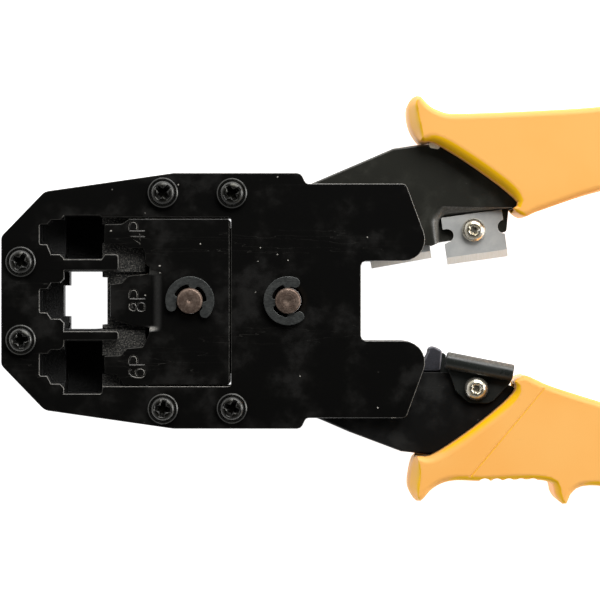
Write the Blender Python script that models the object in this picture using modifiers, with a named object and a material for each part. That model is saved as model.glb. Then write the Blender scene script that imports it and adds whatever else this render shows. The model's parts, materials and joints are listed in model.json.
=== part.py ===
"""Modular plug crimping tool for 8P, 6P and 4P plugs, with two hand levers, as an assembly.

Run with: blender --background --python part.py

Two pressed plates hold a die block. A ram slides in windows of the plates and carries the pin
that both levers turn on. A second pin, fixed in the plates, runs in a cam slot of each lever,
so closing the levers pushes the ram and its punches into the plug sockets.

The drawing is in millimetres from the ram pin's axis, in the tool's mid-plane, with the levers
open: +X towards the grips, +Y towards the upper grip, +Z out of the front face.
"""

import math

import bmesh
import bpy
from mathutils import Matrix, Vector

MM = 0.001

# Overall size, and where the drawing's origin stands in the model's frame
HEAD_LEFT = -37.8
TAIL_END = 162.2
GRIP_HALF = 9.5
ORIGIN = Vector((-(HEAD_LEFT + TAIL_END) / 2, 0.0, GRIP_HALF))

# Layers along Z
PLATE = (5.2, 7.2)
CORE = (-4.9, 4.9)
UPPER_CHANNEL = 4.8
UPPER_CAVITY = 3.5
LOWER_CHANNEL = 3.25
LOWER_CAVITY = 1.95
BEYOND = 12.0

# Mechanism: closing turns each lever by CLOSING_ANGLE while the ram moves by RAM_TRAVEL
CAM_PIN_X = 19.6
CLOSING_ANGLE = math.radians(10.0)
RAM_TRAVEL = 3.1
CAM_RISE = RAM_TRAVEL / CLOSING_ANGLE
PIN_RADIUS = 2.6
PIN_HOLE = PIN_RADIUS + 0.3
SLOT_HALF = PIN_RADIUS + 0.25
LEVER_BOSS = 5.4

# Fasteners
SCREW_PLACES = [(-33.8, 7.8), (-33.8, -7.8), (-5.4, 21.6), (-5.4, -21.6), (8.4, 21.5), (8.4, -21.5)]
SHANK = 1.5
SHANK_HOLE = SHANK + 0.3
SMALL_SHANK = 1.3
SMALL_HOLE = SMALL_SHANK + 0.3
FIT = 0.3

# Plug sockets: middle and half width of each body along Y
SOCKET_RIGHT = -17.7
SOCKET_LEFT = -25.2
LATCH_STEP = -27.8
LATCH_END = -30.1
PIT_FLOOR = -3.4
LATCH_SHELF = 0.5

# Blades: both cutting edges are radial from the ram pin
BLADE_LENGTH = 12.3
BLADE_HEIGHT = 9.5
BLADE_THICKNESS = 1.0
GROUND_WIDTH = 1.4
CUTTER_EDGE = (52.2, math.radians(8.0), 2.3)
STRIPPER_EDGE = (37.0, math.radians(10.1), 2.2)
BLADE_SCREW = (6.15, 6.15)

# Grips and lever tails, in the frame that each lever has when the tool is closed
TAIL_MIDDLE = 15.3
TAIL_RADIUS = 6.9
TAIL_CENTRE = (
    TAIL_END - TAIL_RADIUS + TAIL_MIDDLE * math.sin(CLOSING_ANGLE)
) / math.cos(CLOSING_ANGLE)
LEVER_END = 150.0

COLOURS = {
    "black_paint": ((0.012, 0.012, 0.013), 0.38, 0.0),
    "lever_black": ((0.030, 0.032, 0.032), 0.42, 0.0),
    "die_steel": ((0.045, 0.045, 0.043), 0.60, 0.3),
    "pin_steel": ((0.16, 0.12, 0.10), 0.35, 1.0),
    "black_oxide": ((0.030, 0.032, 0.034), 0.35, 0.8),
    "blade_steel": ((0.50, 0.52, 0.52), 0.30, 1.0),
    "nickel": ((0.72, 0.68, 0.60), 0.22, 1.0),
    "black_plastic": ((0.045, 0.045, 0.050), 0.45, 0.0),
    "orange_grip": ((0.90, 0.48, 0.09), 0.45, 0.0),
}


# ---------------------------------------------------------------- scene and placing

def clear_scene():
    for item in list(bpy.data.objects):
        bpy.data.objects.remove(item, do_unlink=True)


def new_collection(name):
    group = bpy.data.collections.new(name)
    bpy.context.scene.collection.children.link(group)
    return group


def new_empty(name, parent=None):
    """An axis marker on the ram pin's line; the whole drawing is placed by it."""
    marker = bpy.data.objects.new(name, None)
    marker.empty_display_size = 0.01
    parts.objects.link(marker)
    if parent:
        marker.parent = parent
    else:
        marker.location = ORIGIN * MM
    return marker


def new_material(name):
    colour, roughness, metallic = COLOURS[name]
    material = bpy.data.materials.new(name)
    material.use_nodes = True
    shader = material.node_tree.nodes["Principled BSDF"]
    shader.inputs["Base Color"].default_value = (*colour, 1.0)
    shader.inputs["Roughness"].default_value = roughness
    shader.inputs["Metallic"].default_value = metallic
    return material


def add_part(name, mesh, body, material, smooth=False):
    """Put a mesh, drawn in the ram pin's frame, into the model as one named sub-part."""
    part = bpy.data.objects.new(name, mesh)
    parts.objects.link(part)
    part.parent = body
    mesh.materials.clear()
    mesh.materials.append(new_material(material))
    if smooth:
        mesh.shade_smooth()
        mesh.set_sharp_from_angle(angle=math.radians(35))
    return part


def add_guide(name, mesh, body):
    guide = bpy.data.objects.new(name, mesh)
    cutters.objects.link(guide)
    guide.parent = body
    guide.hide_render = True
    guide.display_type = "WIRE"
    return guide


def combine(part, mesh, operation, label):
    """Join a mesh to a sub-part, or cut it away, by an exact Boolean."""
    guide = add_guide(f"{part.name}_{label}", mesh, part.parent)
    modifier = part.modifiers.new(label, "BOOLEAN")
    modifier.operation = operation
    modifier.solver = "EXACT"
    modifier.object = guide


def cut(part, mesh, label):
    combine(part, mesh, "DIFFERENCE", label)


def join(part, mesh, label):
    combine(part, mesh, "UNION", label)


# ---------------------------------------------------------------- outlines and meshes

def arc(centre, radius, start, end, steps):
    """Points on an arc between two angles in degrees."""
    points = []
    for step in range(steps + 1):
        angle = math.radians(start + (end - start) * step / steps)
        points.append((centre[0] + radius * math.cos(angle), centre[1] + radius * math.sin(angle)))
    return points


def circle(centre, radius, steps=20):
    return arc(centre, radius, 0, 360, steps)[:-1]


def rounded(corners):
    """The closed outline through corners (x, y) or (x, y, radius), with each radius as an arc."""
    outline = []
    for index, corner in enumerate(corners):
        point = Vector(corner[:2])
        if len(corner) < 3:
            outline.append(tuple(point))
            continue
        before = (Vector(corners[index - 1][:2]) - point).normalized()
        after = (Vector(corners[(index + 1) % len(corners)][:2]) - point).normalized()
        half = before.angle(after) / 2
        centre = point + (before + after).normalized() * corner[2] / math.sin(half)
        start = point + before * corner[2] / math.tan(half) - centre
        end = point + after * corner[2] / math.tan(half) - centre
        start_angle = math.atan2(start.y, start.x)
        turn = (math.atan2(end.y, end.x) - start_angle + math.pi) % (2 * math.pi) - math.pi
        steps = max(2, math.ceil(1.6 * corner[2]))
        for step in range(steps + 1):
            angle = start_angle + turn * step / steps
            outline.append((centre.x + corner[2] * math.cos(angle),
                            centre.y + corner[2] * math.sin(angle)))
    return outline


def mirrored(points):
    """The same outline reflected from the upper side to the lower side."""
    return [(point[0], -point[1], *point[2:]) for point in points]


def opened(points):
    """Turn points of the closed upper lever to where they lie with the tool open."""
    cosine, sine = math.cos(CLOSING_ANGLE), math.sin(CLOSING_ANGLE)
    return [(x * cosine - y * sine, x * sine + y * cosine) for x, y in points]


def radial(radius, angle, points):
    """Place points (along, above) on the radial line at an angle, from a radius outwards."""
    cosine, sine = math.cos(angle), math.sin(angle)
    return [((radius + along) * cosine - above * sine, (radius + along) * sine + above * cosine)
            for along, above in points]


def box_outline(x_low, x_high, y_low, y_high):
    return [(x_low, y_low), (x_high, y_low), (x_high, y_high), (x_low, y_high)]


def slab(loops, low, high):
    """A flat plate mesh between two heights, from its outline and the outlines of its holes."""
    curve = bpy.data.curves.new("slab", "CURVE")
    curve.dimensions = "2D"
    curve.fill_mode = "BOTH"
    curve.extrude = (high - low) / 2 * MM
    for loop in loops:
        spline = curve.splines.new("POLY")
        spline.points.add(len(loop) - 1)
        spline.use_cyclic_u = True
        for point, place in zip(spline.points, loop):
            point.co = (place[0] * MM, place[1] * MM, 0.0, 1.0)
    draft = bpy.data.objects.new("slab", curve)
    draft.location.z = (low + high) / 2 * MM
    return curve_to_mesh(draft)


def curve_to_mesh(draft):
    """Turn a curve object into a closed mesh in the drawing's frame, and remove the curve."""
    cutters.objects.link(draft)
    graph = bpy.context.evaluated_depsgraph_get()
    mesh = bpy.data.meshes.new_from_object(draft.evaluated_get(graph))
    mesh.transform(draft.matrix_world)
    welded = bmesh.new()
    welded.from_mesh(mesh)
    bmesh.ops.remove_doubles(welded, verts=welded.verts, dist=1e-7)
    bmesh.ops.recalc_face_normals(welded, faces=welded.faces)
    welded.to_mesh(mesh)
    welded.free()
    bpy.data.objects.remove(draft, do_unlink=True)
    return mesh


def cylinder(start, end, radius, steps=24):
    """A solid round bar between two points."""
    start, end = Vector(start), Vector(end)
    middle = (start + end) / 2 * MM
    turn = (end - start).to_track_quat("Z", "Y").to_matrix().to_4x4()
    solid = bmesh.new()
    bmesh.ops.create_cone(solid, cap_ends=True, segments=steps, radius1=radius * MM,
                          radius2=radius * MM, depth=(end - start).length * MM,
                          matrix=Matrix.Translation(middle) @ turn)
    mesh = bpy.data.meshes.new("cylinder")
    solid.to_mesh(mesh)
    solid.free()
    return mesh


def add_turned(name, profile, centre, body, material, steps=24):
    """A turned sub-part from its profile (radius, height), top to bottom, by a Screw modifier."""
    mesh = bpy.data.meshes.new(name)
    points = [(radius * MM, 0.0, height * MM) for radius, height in profile]
    mesh.from_pydata(points, [(index, index + 1) for index in range(len(points) - 1)], [])
    part = add_part(name, mesh, body, material)
    part.location = (centre[0] * MM, centre[1] * MM, 0.0)
    turning = part.modifiers.new("turning", "SCREW")
    turning.axis = "Z"
    turning.steps = steps
    turning.render_steps = steps
    turning.use_merge_vertices = True
    turning.merge_threshold = 0.00001
    turning.use_smooth_shade = False
    return part


# ---------------------------------------------------------------- head: plates and die block

def plate_outline():
    """Half of the plate outline, from the socket end to the end of the ear, and its mirror."""
    upper = [
        (34.2, 8.0, 1.0), (48.9, 8.0, 4.3), (43.2, 23.45, 1.0),
        (23.2, 23.45, 0.8), (22.2, 25.6, 1.2), (-3.3, 25.6, 6.0), (-29.1, 21.9, 2.5),
        (HEAD_LEFT, 12.9, 1.5),
    ]
    return rounded(upper + mirrored(upper)[::-1])


def latch_side(middle_high, middle_low, step_high, step_low, recess_high, recess_low):
    """The latch end of one socket, from its upper body corner down to its lower one."""
    return [
        (SOCKET_LEFT, middle_high), (SOCKET_LEFT, step_high + 0.8), (SOCKET_LEFT - 0.8, step_high),
        (LATCH_STEP, step_high), (LATCH_STEP - 0.8, recess_high), (LATCH_END, recess_high, 0.3),
        (LATCH_END, recess_low, 0.3), (LATCH_STEP - 0.8, recess_low), (LATCH_STEP, step_low),
        (SOCKET_LEFT - 0.8, step_low), (SOCKET_LEFT, step_low - 0.8), (SOCKET_LEFT, middle_low),
    ]


LATCH_4P = latch_side(17.1, 8.3, 16.2, 9.3, 15.3, 11.3)
LATCH_8P = latch_side(6.1, -6.1, 3.6, -3.6, 2.35, -2.35)
LATCH_6P = latch_side(-7.9, -18.6, -9.8, -16.6, -10.6, -15.0)


def front_window():
    """The ram window of the front plate, left open into the three plug sockets."""
    corners = [(8.2, -17.1, 0.5), (8.2, 16.7, 0.5), (SOCKET_RIGHT, 16.7)]
    corners += [(SOCKET_RIGHT - 0.3, 17.1)] + LATCH_4P
    corners += [(SOCKET_RIGHT, 8.3), (-17.0, 9.3), (-14.3, 9.3, 0.5), (-14.3, 6.1, 0.5)] + LATCH_8P
    corners += [(-14.3, -6.1, 0.5), (-14.3, -7.9, 0.5)] + LATCH_6P
    corners += [(SOCKET_RIGHT, -18.6, 0.4), (SOCKET_RIGHT + 0.2, -17.1)]
    return rounded(corners)


def back_window():
    """The ram window of the back plate, open only into the 8P socket."""
    corners = [(8.2, -17.1, 0.5), (8.2, 16.7, 0.5), (-13.5, 16.7, 0.5), (-13.5, 6.1)]
    corners += LATCH_8P + [(-13.5, -6.1), (-13.5, -17.1, 0.5)]
    return rounded(corners)


def build_plates():
    holes = [circle(place, SHANK_HOLE, 16) for place in SCREW_PLACES]
    holes.append(circle((CAM_PIN_X, 0.0), PIN_HOLE, 24))
    front = slab([plate_outline(), front_window(), *holes], *PLATE)
    add_part("front_plate", front, head, "black_paint")
    back = slab([plate_outline(), back_window(), *holes], -PLATE[1], -PLATE[0])
    add_part("back_plate", back, head, "black_paint")


def pit(part, label, high, low, floor):
    """Sink one socket body into the die block."""
    outline = box_outline(SOCKET_LEFT, SOCKET_RIGHT, low, high)
    cut(part, slab([outline], floor, BEYOND), label)


def latch_recess(part, label, step_high, step_low, recess_high, recess_low):
    """Sink the stepped shelf for a plug's latch into the die block."""
    outline = [
        (SOCKET_LEFT + 0.8, step_low), (SOCKET_LEFT + 0.8, step_high), (LATCH_STEP, step_high),
        (LATCH_STEP - 0.8, recess_high), (LATCH_END, recess_high), (LATCH_END, recess_low),
        (LATCH_STEP - 0.8, recess_low), (LATCH_STEP, step_low),
    ]
    cut(part, slab([outline], LATCH_SHELF, BEYOND), label)


def build_die_block():
    """The block with an open 8P socket and blind 4P and 6P sockets, each with a punch channel."""
    block_end = -8.95
    channel_8p = 4.75
    outline = [
        (-37.4, -12.7), (-28.9, -21.5), (-10.4, -23.6), (-10.4, -17.6), (block_end, -17.4),
        (block_end, -channel_8p), (SOCKET_RIGHT, -channel_8p), (SOCKET_RIGHT, -5.7),
        (-24.5, -5.7), (-24.5, -3.1), (-25.7, -3.1), (-25.7, 3.1), (-24.5, 3.1), (-24.5, 5.9),
        (SOCKET_RIGHT, 5.9), (SOCKET_RIGHT, channel_8p), (block_end, channel_8p),
        (block_end, 17.4), (-10.4, 17.6), (-10.4, 23.6), (-28.9, 21.5), (-37.4, 12.7),
    ]
    holes = [circle(place, SHANK_HOLE, 16) for place in SCREW_PLACES[:2]]
    block = add_part("die_block", slab([outline, *holes], *CORE), head, "die_steel")
    pit(block, "pit_4p", 17.0, 8.5, PIT_FLOOR)
    pit(block, "pit_6p", -8.1, -18.5, PIT_FLOOR)
    cut(block, slab([box_outline(-18.5, -7.0, 11.6, 15.3)], PIT_FLOOR, BEYOND), "channel_4p")
    cut(block, slab([box_outline(-18.5, -7.0, -14.7, -11.0)], PIT_FLOOR, BEYOND), "channel_6p")
    latch_recess(block, "latch_4p", 16.2, 9.3, 15.2, 11.4)
    latch_recess(block, "latch_6p", -9.8, -16.5, -10.7, -14.9)
    latch_recess(block, "latch_8p", 5.8, -5.6, 2.3, -2.3)
    cut(block, slab([box_outline(-19.8, -7.0, -5.8, 5.8)], 4.05, BEYOND), "finger_room")


def build_rails():
    """Spacers between the plates above and below the levers, which also stop them opening."""
    upper = [(-10.0, 18.4), (11.2, 18.4), (11.2, 24.8), (-3.2, 24.8), (-10.0, 23.8)]
    for name, outline, places in (
        ("upper_guide_rail", upper, (SCREW_PLACES[2], SCREW_PLACES[4])),
        ("lower_guide_rail", mirrored(upper)[::-1], (SCREW_PLACES[3], SCREW_PLACES[5])),
    ):
        holes = [circle(place, SHANK_HOLE, 16) for place in places]
        add_part(name, slab([outline, *holes], *CORE), head, "die_steel")


def build_head_screws():
    """Six pan-head screws through the plates, each with a hexagon nut on the back."""
    head_low = PLATE[1] + FIT
    profile = [
        (0.0, head_low + 1.6), (1.2, head_low + 1.5), (2.1, head_low + 1.15),
        (2.85, head_low + 0.7), (3.05, head_low), (SHANK, head_low), (SHANK, -9.2), (0.0, -9.2),
    ]
    for number, place in enumerate(SCREW_PLACES, 1):
        add_turned(f"head_screw_{number}", profile, place, head, "black_oxide", 16)
        nut = slab([circle(place, 3.15, 6), circle(place, SHANK_HOLE, 12)], -9.4, -PLATE[1] - FIT)
        add_part(f"head_nut_{number}", nut, head, "black_oxide")


# ---------------------------------------------------------------- pins and clips

def add_pin(name, centre, body):
    """A pin with a groove for a retaining clip at each end."""
    groove_near, groove_far = PLATE[1] + 0.15, PLATE[1] + 1.4
    groove = 2.05
    chamfer = 0.5
    upper = [
        (0.0, 9.3), (PIN_RADIUS - chamfer, 9.3), (PIN_RADIUS, 9.3 - chamfer),
        (PIN_RADIUS, groove_far), (groove, groove_far), (groove, groove_near),
        (PIN_RADIUS, groove_near),
    ]
    lower = [
        (PIN_RADIUS, -groove_near), (groove, -groove_near), (groove, -groove_far),
        (PIN_RADIUS, -groove_far), (PIN_RADIUS, -GRIP_HALF + chamfer),
        (PIN_RADIUS - chamfer, -GRIP_HALF), (0.0, -GRIP_HALF),
    ]
    add_turned(name, upper + lower, centre, body, "pin_steel")


def clip_outline(centre, facing):
    """A spring clip with round ends and three lugs, open towards the given angle in degrees."""
    outer, end_radius = 4.9, 1.05
    end_turn = 62
    half = [(72, 2.85), (78, 2.35), (94, 2.35), (100, 3.3), (131, 3.3), (162, 3.3), (168, 2.35)]
    inner_side = half + [(180, 2.35)] + [(360 - angle, radius) for angle, radius in half[::-1]]

    def end(turn, start, sweep):
        """The round end of one arm, at an angle from the open side."""
        angle = math.radians(facing + turn)
        reach = outer - end_radius
        middle = (centre[0] + reach * math.cos(angle), centre[1] + reach * math.sin(angle))
        return arc(middle, end_radius, start, start + sweep, 8)

    points = arc(centre, outer, facing + end_turn, facing + 360 - end_turn, 24)[1:-1]
    points += end(-end_turn, facing - end_turn, 180)
    for angle, radius in inner_side[::-1]:
        turned = math.radians(facing + angle)
        points.append((centre[0] + radius * math.cos(turned),
                       centre[1] + radius * math.sin(turned)))
    points += end(end_turn, facing + end_turn + 180, 180)
    return points


def add_clips(name, centre, body, facing):
    low, high = PLATE[1] + FIT, PLATE[1] + 1.2
    outline = clip_outline(centre, facing)
    add_part(f"{name}_front", slab([outline], low, high), body, "black_oxide")
    add_part(f"{name}_back", slab([outline], -high, -low), body, "black_oxide")


def build_spring():
    """The torsion spring round the ram pin, whose straight legs push the lever webs apart."""
    coil_radius, wire, pitch = 3.7, 0.6, 1.3
    lower_end, upper_end = (22.4, -19.6), (22.4, 20.1)
    start_angle, sweep = -124.0, -472.0
    half_height = -pitch * sweep / 360 / 2
    steps = 24
    points = [(*lower_end, -half_height)]
    for step in range(steps + 1):
        angle = math.radians(start_angle + sweep * step / steps)
        points.append((coil_radius * math.cos(angle), coil_radius * math.sin(angle),
                       -half_height + 2 * half_height * step / steps))
    points.append((*upper_end, half_height))
    curve = bpy.data.curves.new("return_spring", "CURVE")
    curve.dimensions = "3D"
    curve.bevel_depth = wire * MM
    curve.bevel_resolution = 2
    curve.use_fill_caps = True
    spline = curve.splines.new("POLY")
    spline.points.add(len(points) - 1)
    for point, place in zip(spline.points, points):
        point.co = (*(Vector(place) * MM), 1.0)
    draft = bpy.data.objects.new("return_spring", curve)
    add_part("return_spring", curve_to_mesh(draft), ram, "black_oxide")


# ---------------------------------------------------------------- ram

def build_ram():
    """Two covers in the plate windows with a finger over each socket, and three punches."""
    cover = [
        (7.9, -16.8, 0.4), (7.9, 16.4, 0.4), (-12.1, 16.4), (-13.6, 15.4, 0.8), (-17.1, 15.3),
        (-17.2, 11.5), (-13.9, 11.3), (-12.4, 10.6, 0.8), (-9.3, 10.6, 0.5), (-8.9, 9.0, 0.8),
        (-9.2, 7.6), (-8.1, 6.7), (-8.2, 5.7), (-7.8, 5.2), (-7.8, -5.2), (-8.2, -6.6),
        (-9.4, -9.2, 0.6), (-12.6, -9.5), (-13.9, -10.9, 0.6), (-17.2, -11.0), (-17.1, -14.6),
        (-14.6, -14.8), (-13.2, -16.8),
    ]
    finger_8p = [
        (-7.0, -5.4), (-7.0, 5.4), (-8.4, 5.4), (-12.4, 5.0, 0.6), (-13.7, 3.6, 0.6),
        (-16.0, 3.3, 0.3), (-16.0, -3.3, 0.3), (-13.9, -4.2), (-11.4, -5.0), (-8.2, -5.4),
    ]
    joggle = 0.8
    pin_hole = circle((0.0, 0.0), PIN_HOLE, 24)
    front = add_part("ram_cover_front", slab([rounded(cover), pin_hole], *PLATE), ram, "black_paint")
    join(front, slab([rounded(finger_8p)], PLATE[0] - joggle, PLATE[1] - joggle), "finger_8p")
    back = [
        (7.9, -16.8, 0.4), (7.9, 16.4, 0.4), (-10.0, 16.4, 0.4), (-10.0, 5.4), (-12.4, 5.0),
        (-13.7, 3.6), (-16.0, 3.3), (-16.0, -3.3), (-13.7, -3.6), (-12.4, -5.0), (-10.0, -5.4),
        (-10.0, -16.8, 0.4),
    ]
    back_mesh = slab([rounded(back), pin_hole], -PLATE[1], -PLATE[0])
    add_part("ram_cover_back", back_mesh, ram, "black_paint")
    punches = [
        ("punch_4p", 11.9, 15.0, PIT_FLOOR + FIT, CORE[1]),
        ("punch_8p", -4.45, 4.45, -CORE[1], PLATE[0] - joggle - FIT),
        ("punch_6p", -14.4, -11.3, PIT_FLOOR + FIT, CORE[1]),
    ]
    for name, low, high, floor, top in punches:
        add_part(name, slab([box_outline(-16.7, -6.2, low, high)], floor, top), ram, "die_steel")


# ---------------------------------------------------------------- levers

def cam_slot(side):
    """The slot of one lever: the cam pin's path in the lever's own frame, with round ends."""
    def path(angle):
        radius = CAM_PIN_X + CAM_RISE * angle
        return Vector((radius * math.cos(angle), side * radius * math.sin(angle)))

    steps = 6
    slack = math.radians(0.5)
    angles = [-slack + (CLOSING_ANGLE + 2 * slack) * step / steps for step in range(steps + 1)]
    left, right = [], []
    for angle in angles:
        along = (path(angle + 0.001) - path(angle - 0.001)).normalized()
        across = Vector((-along.y, along.x)) * SLOT_HALF
        left.append(path(angle) + across)
        right.append(path(angle) - across)
    heading = math.degrees(math.atan2(along.y, along.x))
    end_cap = arc(path(angles[-1]), SLOT_HALF, heading - 90, heading + 90, 10)[1:-1]
    start = path(angles[0] + 0.001) - path(angles[0] - 0.001)
    heading = math.degrees(math.atan2(start.y, start.x))
    start_cap = arc(path(angles[0]), SLOT_HALF, heading + 90, heading + 270, 10)[1:-1]
    return [tuple(point) for point in right + end_cap + left[::-1] + start_cap]


TAIL_TOP, TAIL_BOTTOM = 18.7, 10.2


def build_upper_lever():
    """A folded channel: two cheeks on the pins, a web on the outer edge, a recessed blade seat."""
    outline = arc((0.0, 0.0), LEVER_BOSS, 105, 270, 12)
    outline += rounded([
        (8.0, -6.6), (19.6, -6.6), (26.5, -4.2), (31.5, 1.0), (33.8, 9.0, 1.0), (46.8, 11.2),
        (48.7, 11.1), (50.2, 11.8), (63.6, 13.9, 0.5), (64.0, 18.2), (66.0, 18.9),
        *opened([(70.5, 8.0), (76.0, TAIL_BOTTOM), (LEVER_END, TAIL_BOTTOM),
                 (LEVER_END, TAIL_TOP), (64.0, TAIL_TOP)]),
        (52.0, 31.35), (46.0, 31.35), (40.7, 30.6), (24.1, 23.5), (11.0, 17.9), (4.0, 10.0),
    ])
    holes = [circle((0.0, 0.0), PIN_HOLE, 24), cam_slot(1)]
    channel = slab([outline, *holes], -UPPER_CHANNEL, UPPER_CHANNEL)
    lever = add_part("upper_lever", channel, upper, "lever_black")
    cavity = [
        (-12.0, 26.0), (19.4, 26.0), (19.9, 20.1), (24.6, 22.0), (41.0, 29.1), (46.2, 29.85),
        (51.8, 29.85), *opened([(63.7, 17.2), (LEVER_END + 2, 17.2), (LEVER_END + 2, 3.0)]),
        (66.4, 12.0), (66.4, 20.2), (49.0, 17.9), (48.6, 5.0), (48.6, -12.0), (-12.0, -12.0),
    ]
    cut(lever, slab([cavity], -UPPER_CAVITY, UPPER_CAVITY), "cavity")
    seat_back = [(48.2, 5.0), (66.9, 5.0), (66.9, 20.4), (48.6, 18.1)]
    cut(lever, slab([seat_back], -UPPER_CAVITY, 0.7), "seat_back")
    seat_front = rounded([(50.0, 8.0), (64.6, 8.0), (64.6, 18.8), (50.0, 16.9, 1.4)])
    cut(lever, slab([seat_front], 2.0, BEYOND), "seat_front")
    for label, edge in (("cutter_hole", CUTTER_EDGE), ("stripper_hole", STRIPPER_EDGE)):
        place = radial(edge[0], edge[1], [BLADE_SCREW])[0]
        hole = cylinder((*place, -0.5), (*place, 6.0), SMALL_HOLE, 16)
        cut(lever, hole, label)


def build_lower_lever():
    """The narrower channel that closes inside the upper one, with notches for the cable seat."""
    outline = arc((0.0, 0.0), LEVER_BOSS, 90, 255, 12)
    outline += rounded([
        (4.0, -10.0), (11.0, -17.9), (26.1, -23.9), (31.9, -26.4), (42.3, -30.3), (47.6, -30.9),
        (52.0, -30.9), *mirrored(opened([(64.0, TAIL_TOP), (LEVER_END, TAIL_TOP),
                                         (LEVER_END, TAIL_BOTTOM), (76.0, TAIL_BOTTOM)])),
        (67.2, -20.0), (65.4, -17.6), (64.2, -17.0), (51.4, -14.4), (36.2, -14.4, 0.6), (36.2, -9.6),
        (33.8, -9.0), (31.5, -1.0), (26.5, 4.2), (19.6, 6.6), (8.0, 6.6),
    ])
    holes = [circle((0.0, 0.0), PIN_HOLE, 24), cam_slot(-1)]
    screw = [circle(GUARD_SCREW, SMALL_HOLE, 16)]
    channel = slab([outline, *holes, *screw], -LOWER_CHANNEL, LOWER_CHANNEL)
    lever = add_part("lower_lever", channel, lower, "lever_black")
    cavity = [
        (-12.0, -26.0), (19.4, -26.0), (19.9, -19.6), (26.7, -22.5), (32.4, -25.0), (42.7, -28.8),
        (47.7, -29.4), (51.8, -29.4),
        *mirrored(opened([(63.7, 17.2), (LEVER_END + 2, 17.2), (LEVER_END + 2, 3.0)])),
        (66.0, -4.0), (48.6, 12.0), (-12.0, 12.0),
    ]
    cut(lever, slab([cavity], -LOWER_CAVITY, LOWER_CAVITY), "cavity")


# ---------------------------------------------------------------- blades, guard and seat

def add_blade(name, edge, body):
    """A flat blade with side notches, a screw hole and a ground edge on the radial line."""
    radius, angle, low = edge
    left = arc((0.75, 5.8), 1.3, -90, 90, 8)
    right = arc((BLADE_LENGTH + 0.1, 6.0), 1.4, 94, 266, 8)
    outline = [(0.0, 0.0), (BLADE_LENGTH, 0.0), *right[::-1], (BLADE_LENGTH, BLADE_HEIGHT),
               (0.0, BLADE_HEIGHT), (0.0, 7.1), *left[::-1], (0.0, 4.2)]
    hole = circle(BLADE_SCREW, SMALL_HOLE, 16)
    loops = [radial(radius, angle, outline), radial(radius, angle, hole)]
    blade = add_part(name, slab(loops, low, low + BLADE_THICKNESS), body, "blade_steel")
    along = Vector((math.cos(angle), math.sin(angle), 0.0))
    across = Vector((-math.sin(angle), math.cos(angle), 0.0))
    rise = (across * GROUND_WIDTH + Vector((0.0, 0.0, BLADE_THICKNESS - 0.1))).normalized()
    out = along.cross(rise)
    middle = along * (radius + BLADE_LENGTH / 2) + Vector((0.0, 0.0, low + 0.1)) + out * 2.0
    frame = Matrix((along, rise, out)).transposed().to_4x4()
    wedge = bmesh.new()
    bmesh.ops.create_cube(wedge, size=1.0, matrix=Matrix.Translation(middle * MM) @ frame
                          @ Matrix.Diagonal((0.018, 0.008, 0.004, 1.0)))
    mesh = bpy.data.meshes.new("wedge")
    wedge.to_mesh(mesh)
    wedge.free()
    cut(blade, mesh, "ground_edge")


def add_small_screw(name, place, head_low, shank_end, body):
    """A small pan-head screw; a shank end above the head makes it point forwards."""
    way = 1 if shank_end < head_low else -1
    profile = [
        (0.0, head_low + way * 1.6), (1.1, head_low + way * 1.5), (1.9, head_low + way * 1.1),
        (2.35, head_low + way * 0.5), (2.4, head_low), (SMALL_SHANK, head_low),
        (SMALL_SHANK, shank_end), (0.0, shank_end),
    ]
    if way < 0:
        profile.reverse()
    add_turned(name, profile, place, body, "nickel", 20)


GUARD_SCREW = (57.4, -17.6)


def build_blades():
    add_blade("cutter_blade", CUTTER_EDGE, upper)
    add_blade("stripper_blade", STRIPPER_EDGE, upper)
    cutter_place = radial(CUTTER_EDGE[0], CUTTER_EDGE[1], [BLADE_SCREW])[0]
    stripper_place = radial(STRIPPER_EDGE[0], STRIPPER_EDGE[1], [BLADE_SCREW])[0]
    add_small_screw("cutter_blade_screw", cutter_place, 3.6, -0.3, upper)
    add_small_screw("stripper_blade_screw", stripper_place, 1.9, 4.8, upper)


def build_guard():
    """The rolled cutting bar and its round flange on the lower lever, with its screw."""
    flange = rounded([
        (51.5, -12.0), (51.9, -14.2), (53.3, -18.2), (56.0, -20.6, 2.2), (60.4, -20.6, 2.6),
        (64.2, -16.6, 0.5), (64.6, -14.6),
    ])
    hole = circle(GUARD_SCREW, SMALL_HOLE, 16)
    guard = add_part("cutter_guard", slab([flange, hole], 3.55, 4.4), lower, "lever_black")
    roll = cylinder((51.2, -11.85, 5.45), (64.75, -14.5, 5.45), 1.75, 24)
    join(guard, roll, "roll")
    add_small_screw("cutter_guard_screw", GUARD_SCREW, 4.7, -1.0, lower)


def build_cable_seat():
    """The plastic seat under the stripping blade, with a round scoop for the cable."""
    outline = [(36.6, -14.1), (50.3, -14.1), (50.7, -10.0), (49.0, -9.1), (47.9, -9.3)]
    outline += arc((43.9, -9.3), 3.9, -5, -170, 12)
    outline += [(39.7, -8.7), (36.6, -8.7)]
    seat = slab([outline], -2.8, 2.8)
    part = add_part("cable_seat", seat, lower, "black_plastic")
    join(part, slab([box_outline(39.5, 47.5, -19.0, -13.8)], -1.6, 1.6), "stem")


# ---------------------------------------------------------------- grips

def grip_pocket(edge_high, side):
    """The pocket for a lever's tail, open where the lever enters the grip."""
    points = [
        (40.0, edge_high), (52.1, edge_high), (60.0, 29.85),
        *opened([(66.0, TAIL_TOP + FIT), (LEVER_END + 0.4, TAIL_TOP + FIT),
                 (LEVER_END + 0.4, TAIL_BOTTOM - FIT), (76.2, TAIL_BOTTOM - FIT), (71.0, 7.7)]),
    ]
    if side > 0:
        return points + [(66.2, 18.5), (64.2, 17.8), (58.0, 16.9), (40.0, 24.0)]
    return mirrored(points + [(66.4, 17.1), (64.2, 16.6), (58.0, 15.9), (40.0, 24.0)])


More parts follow.
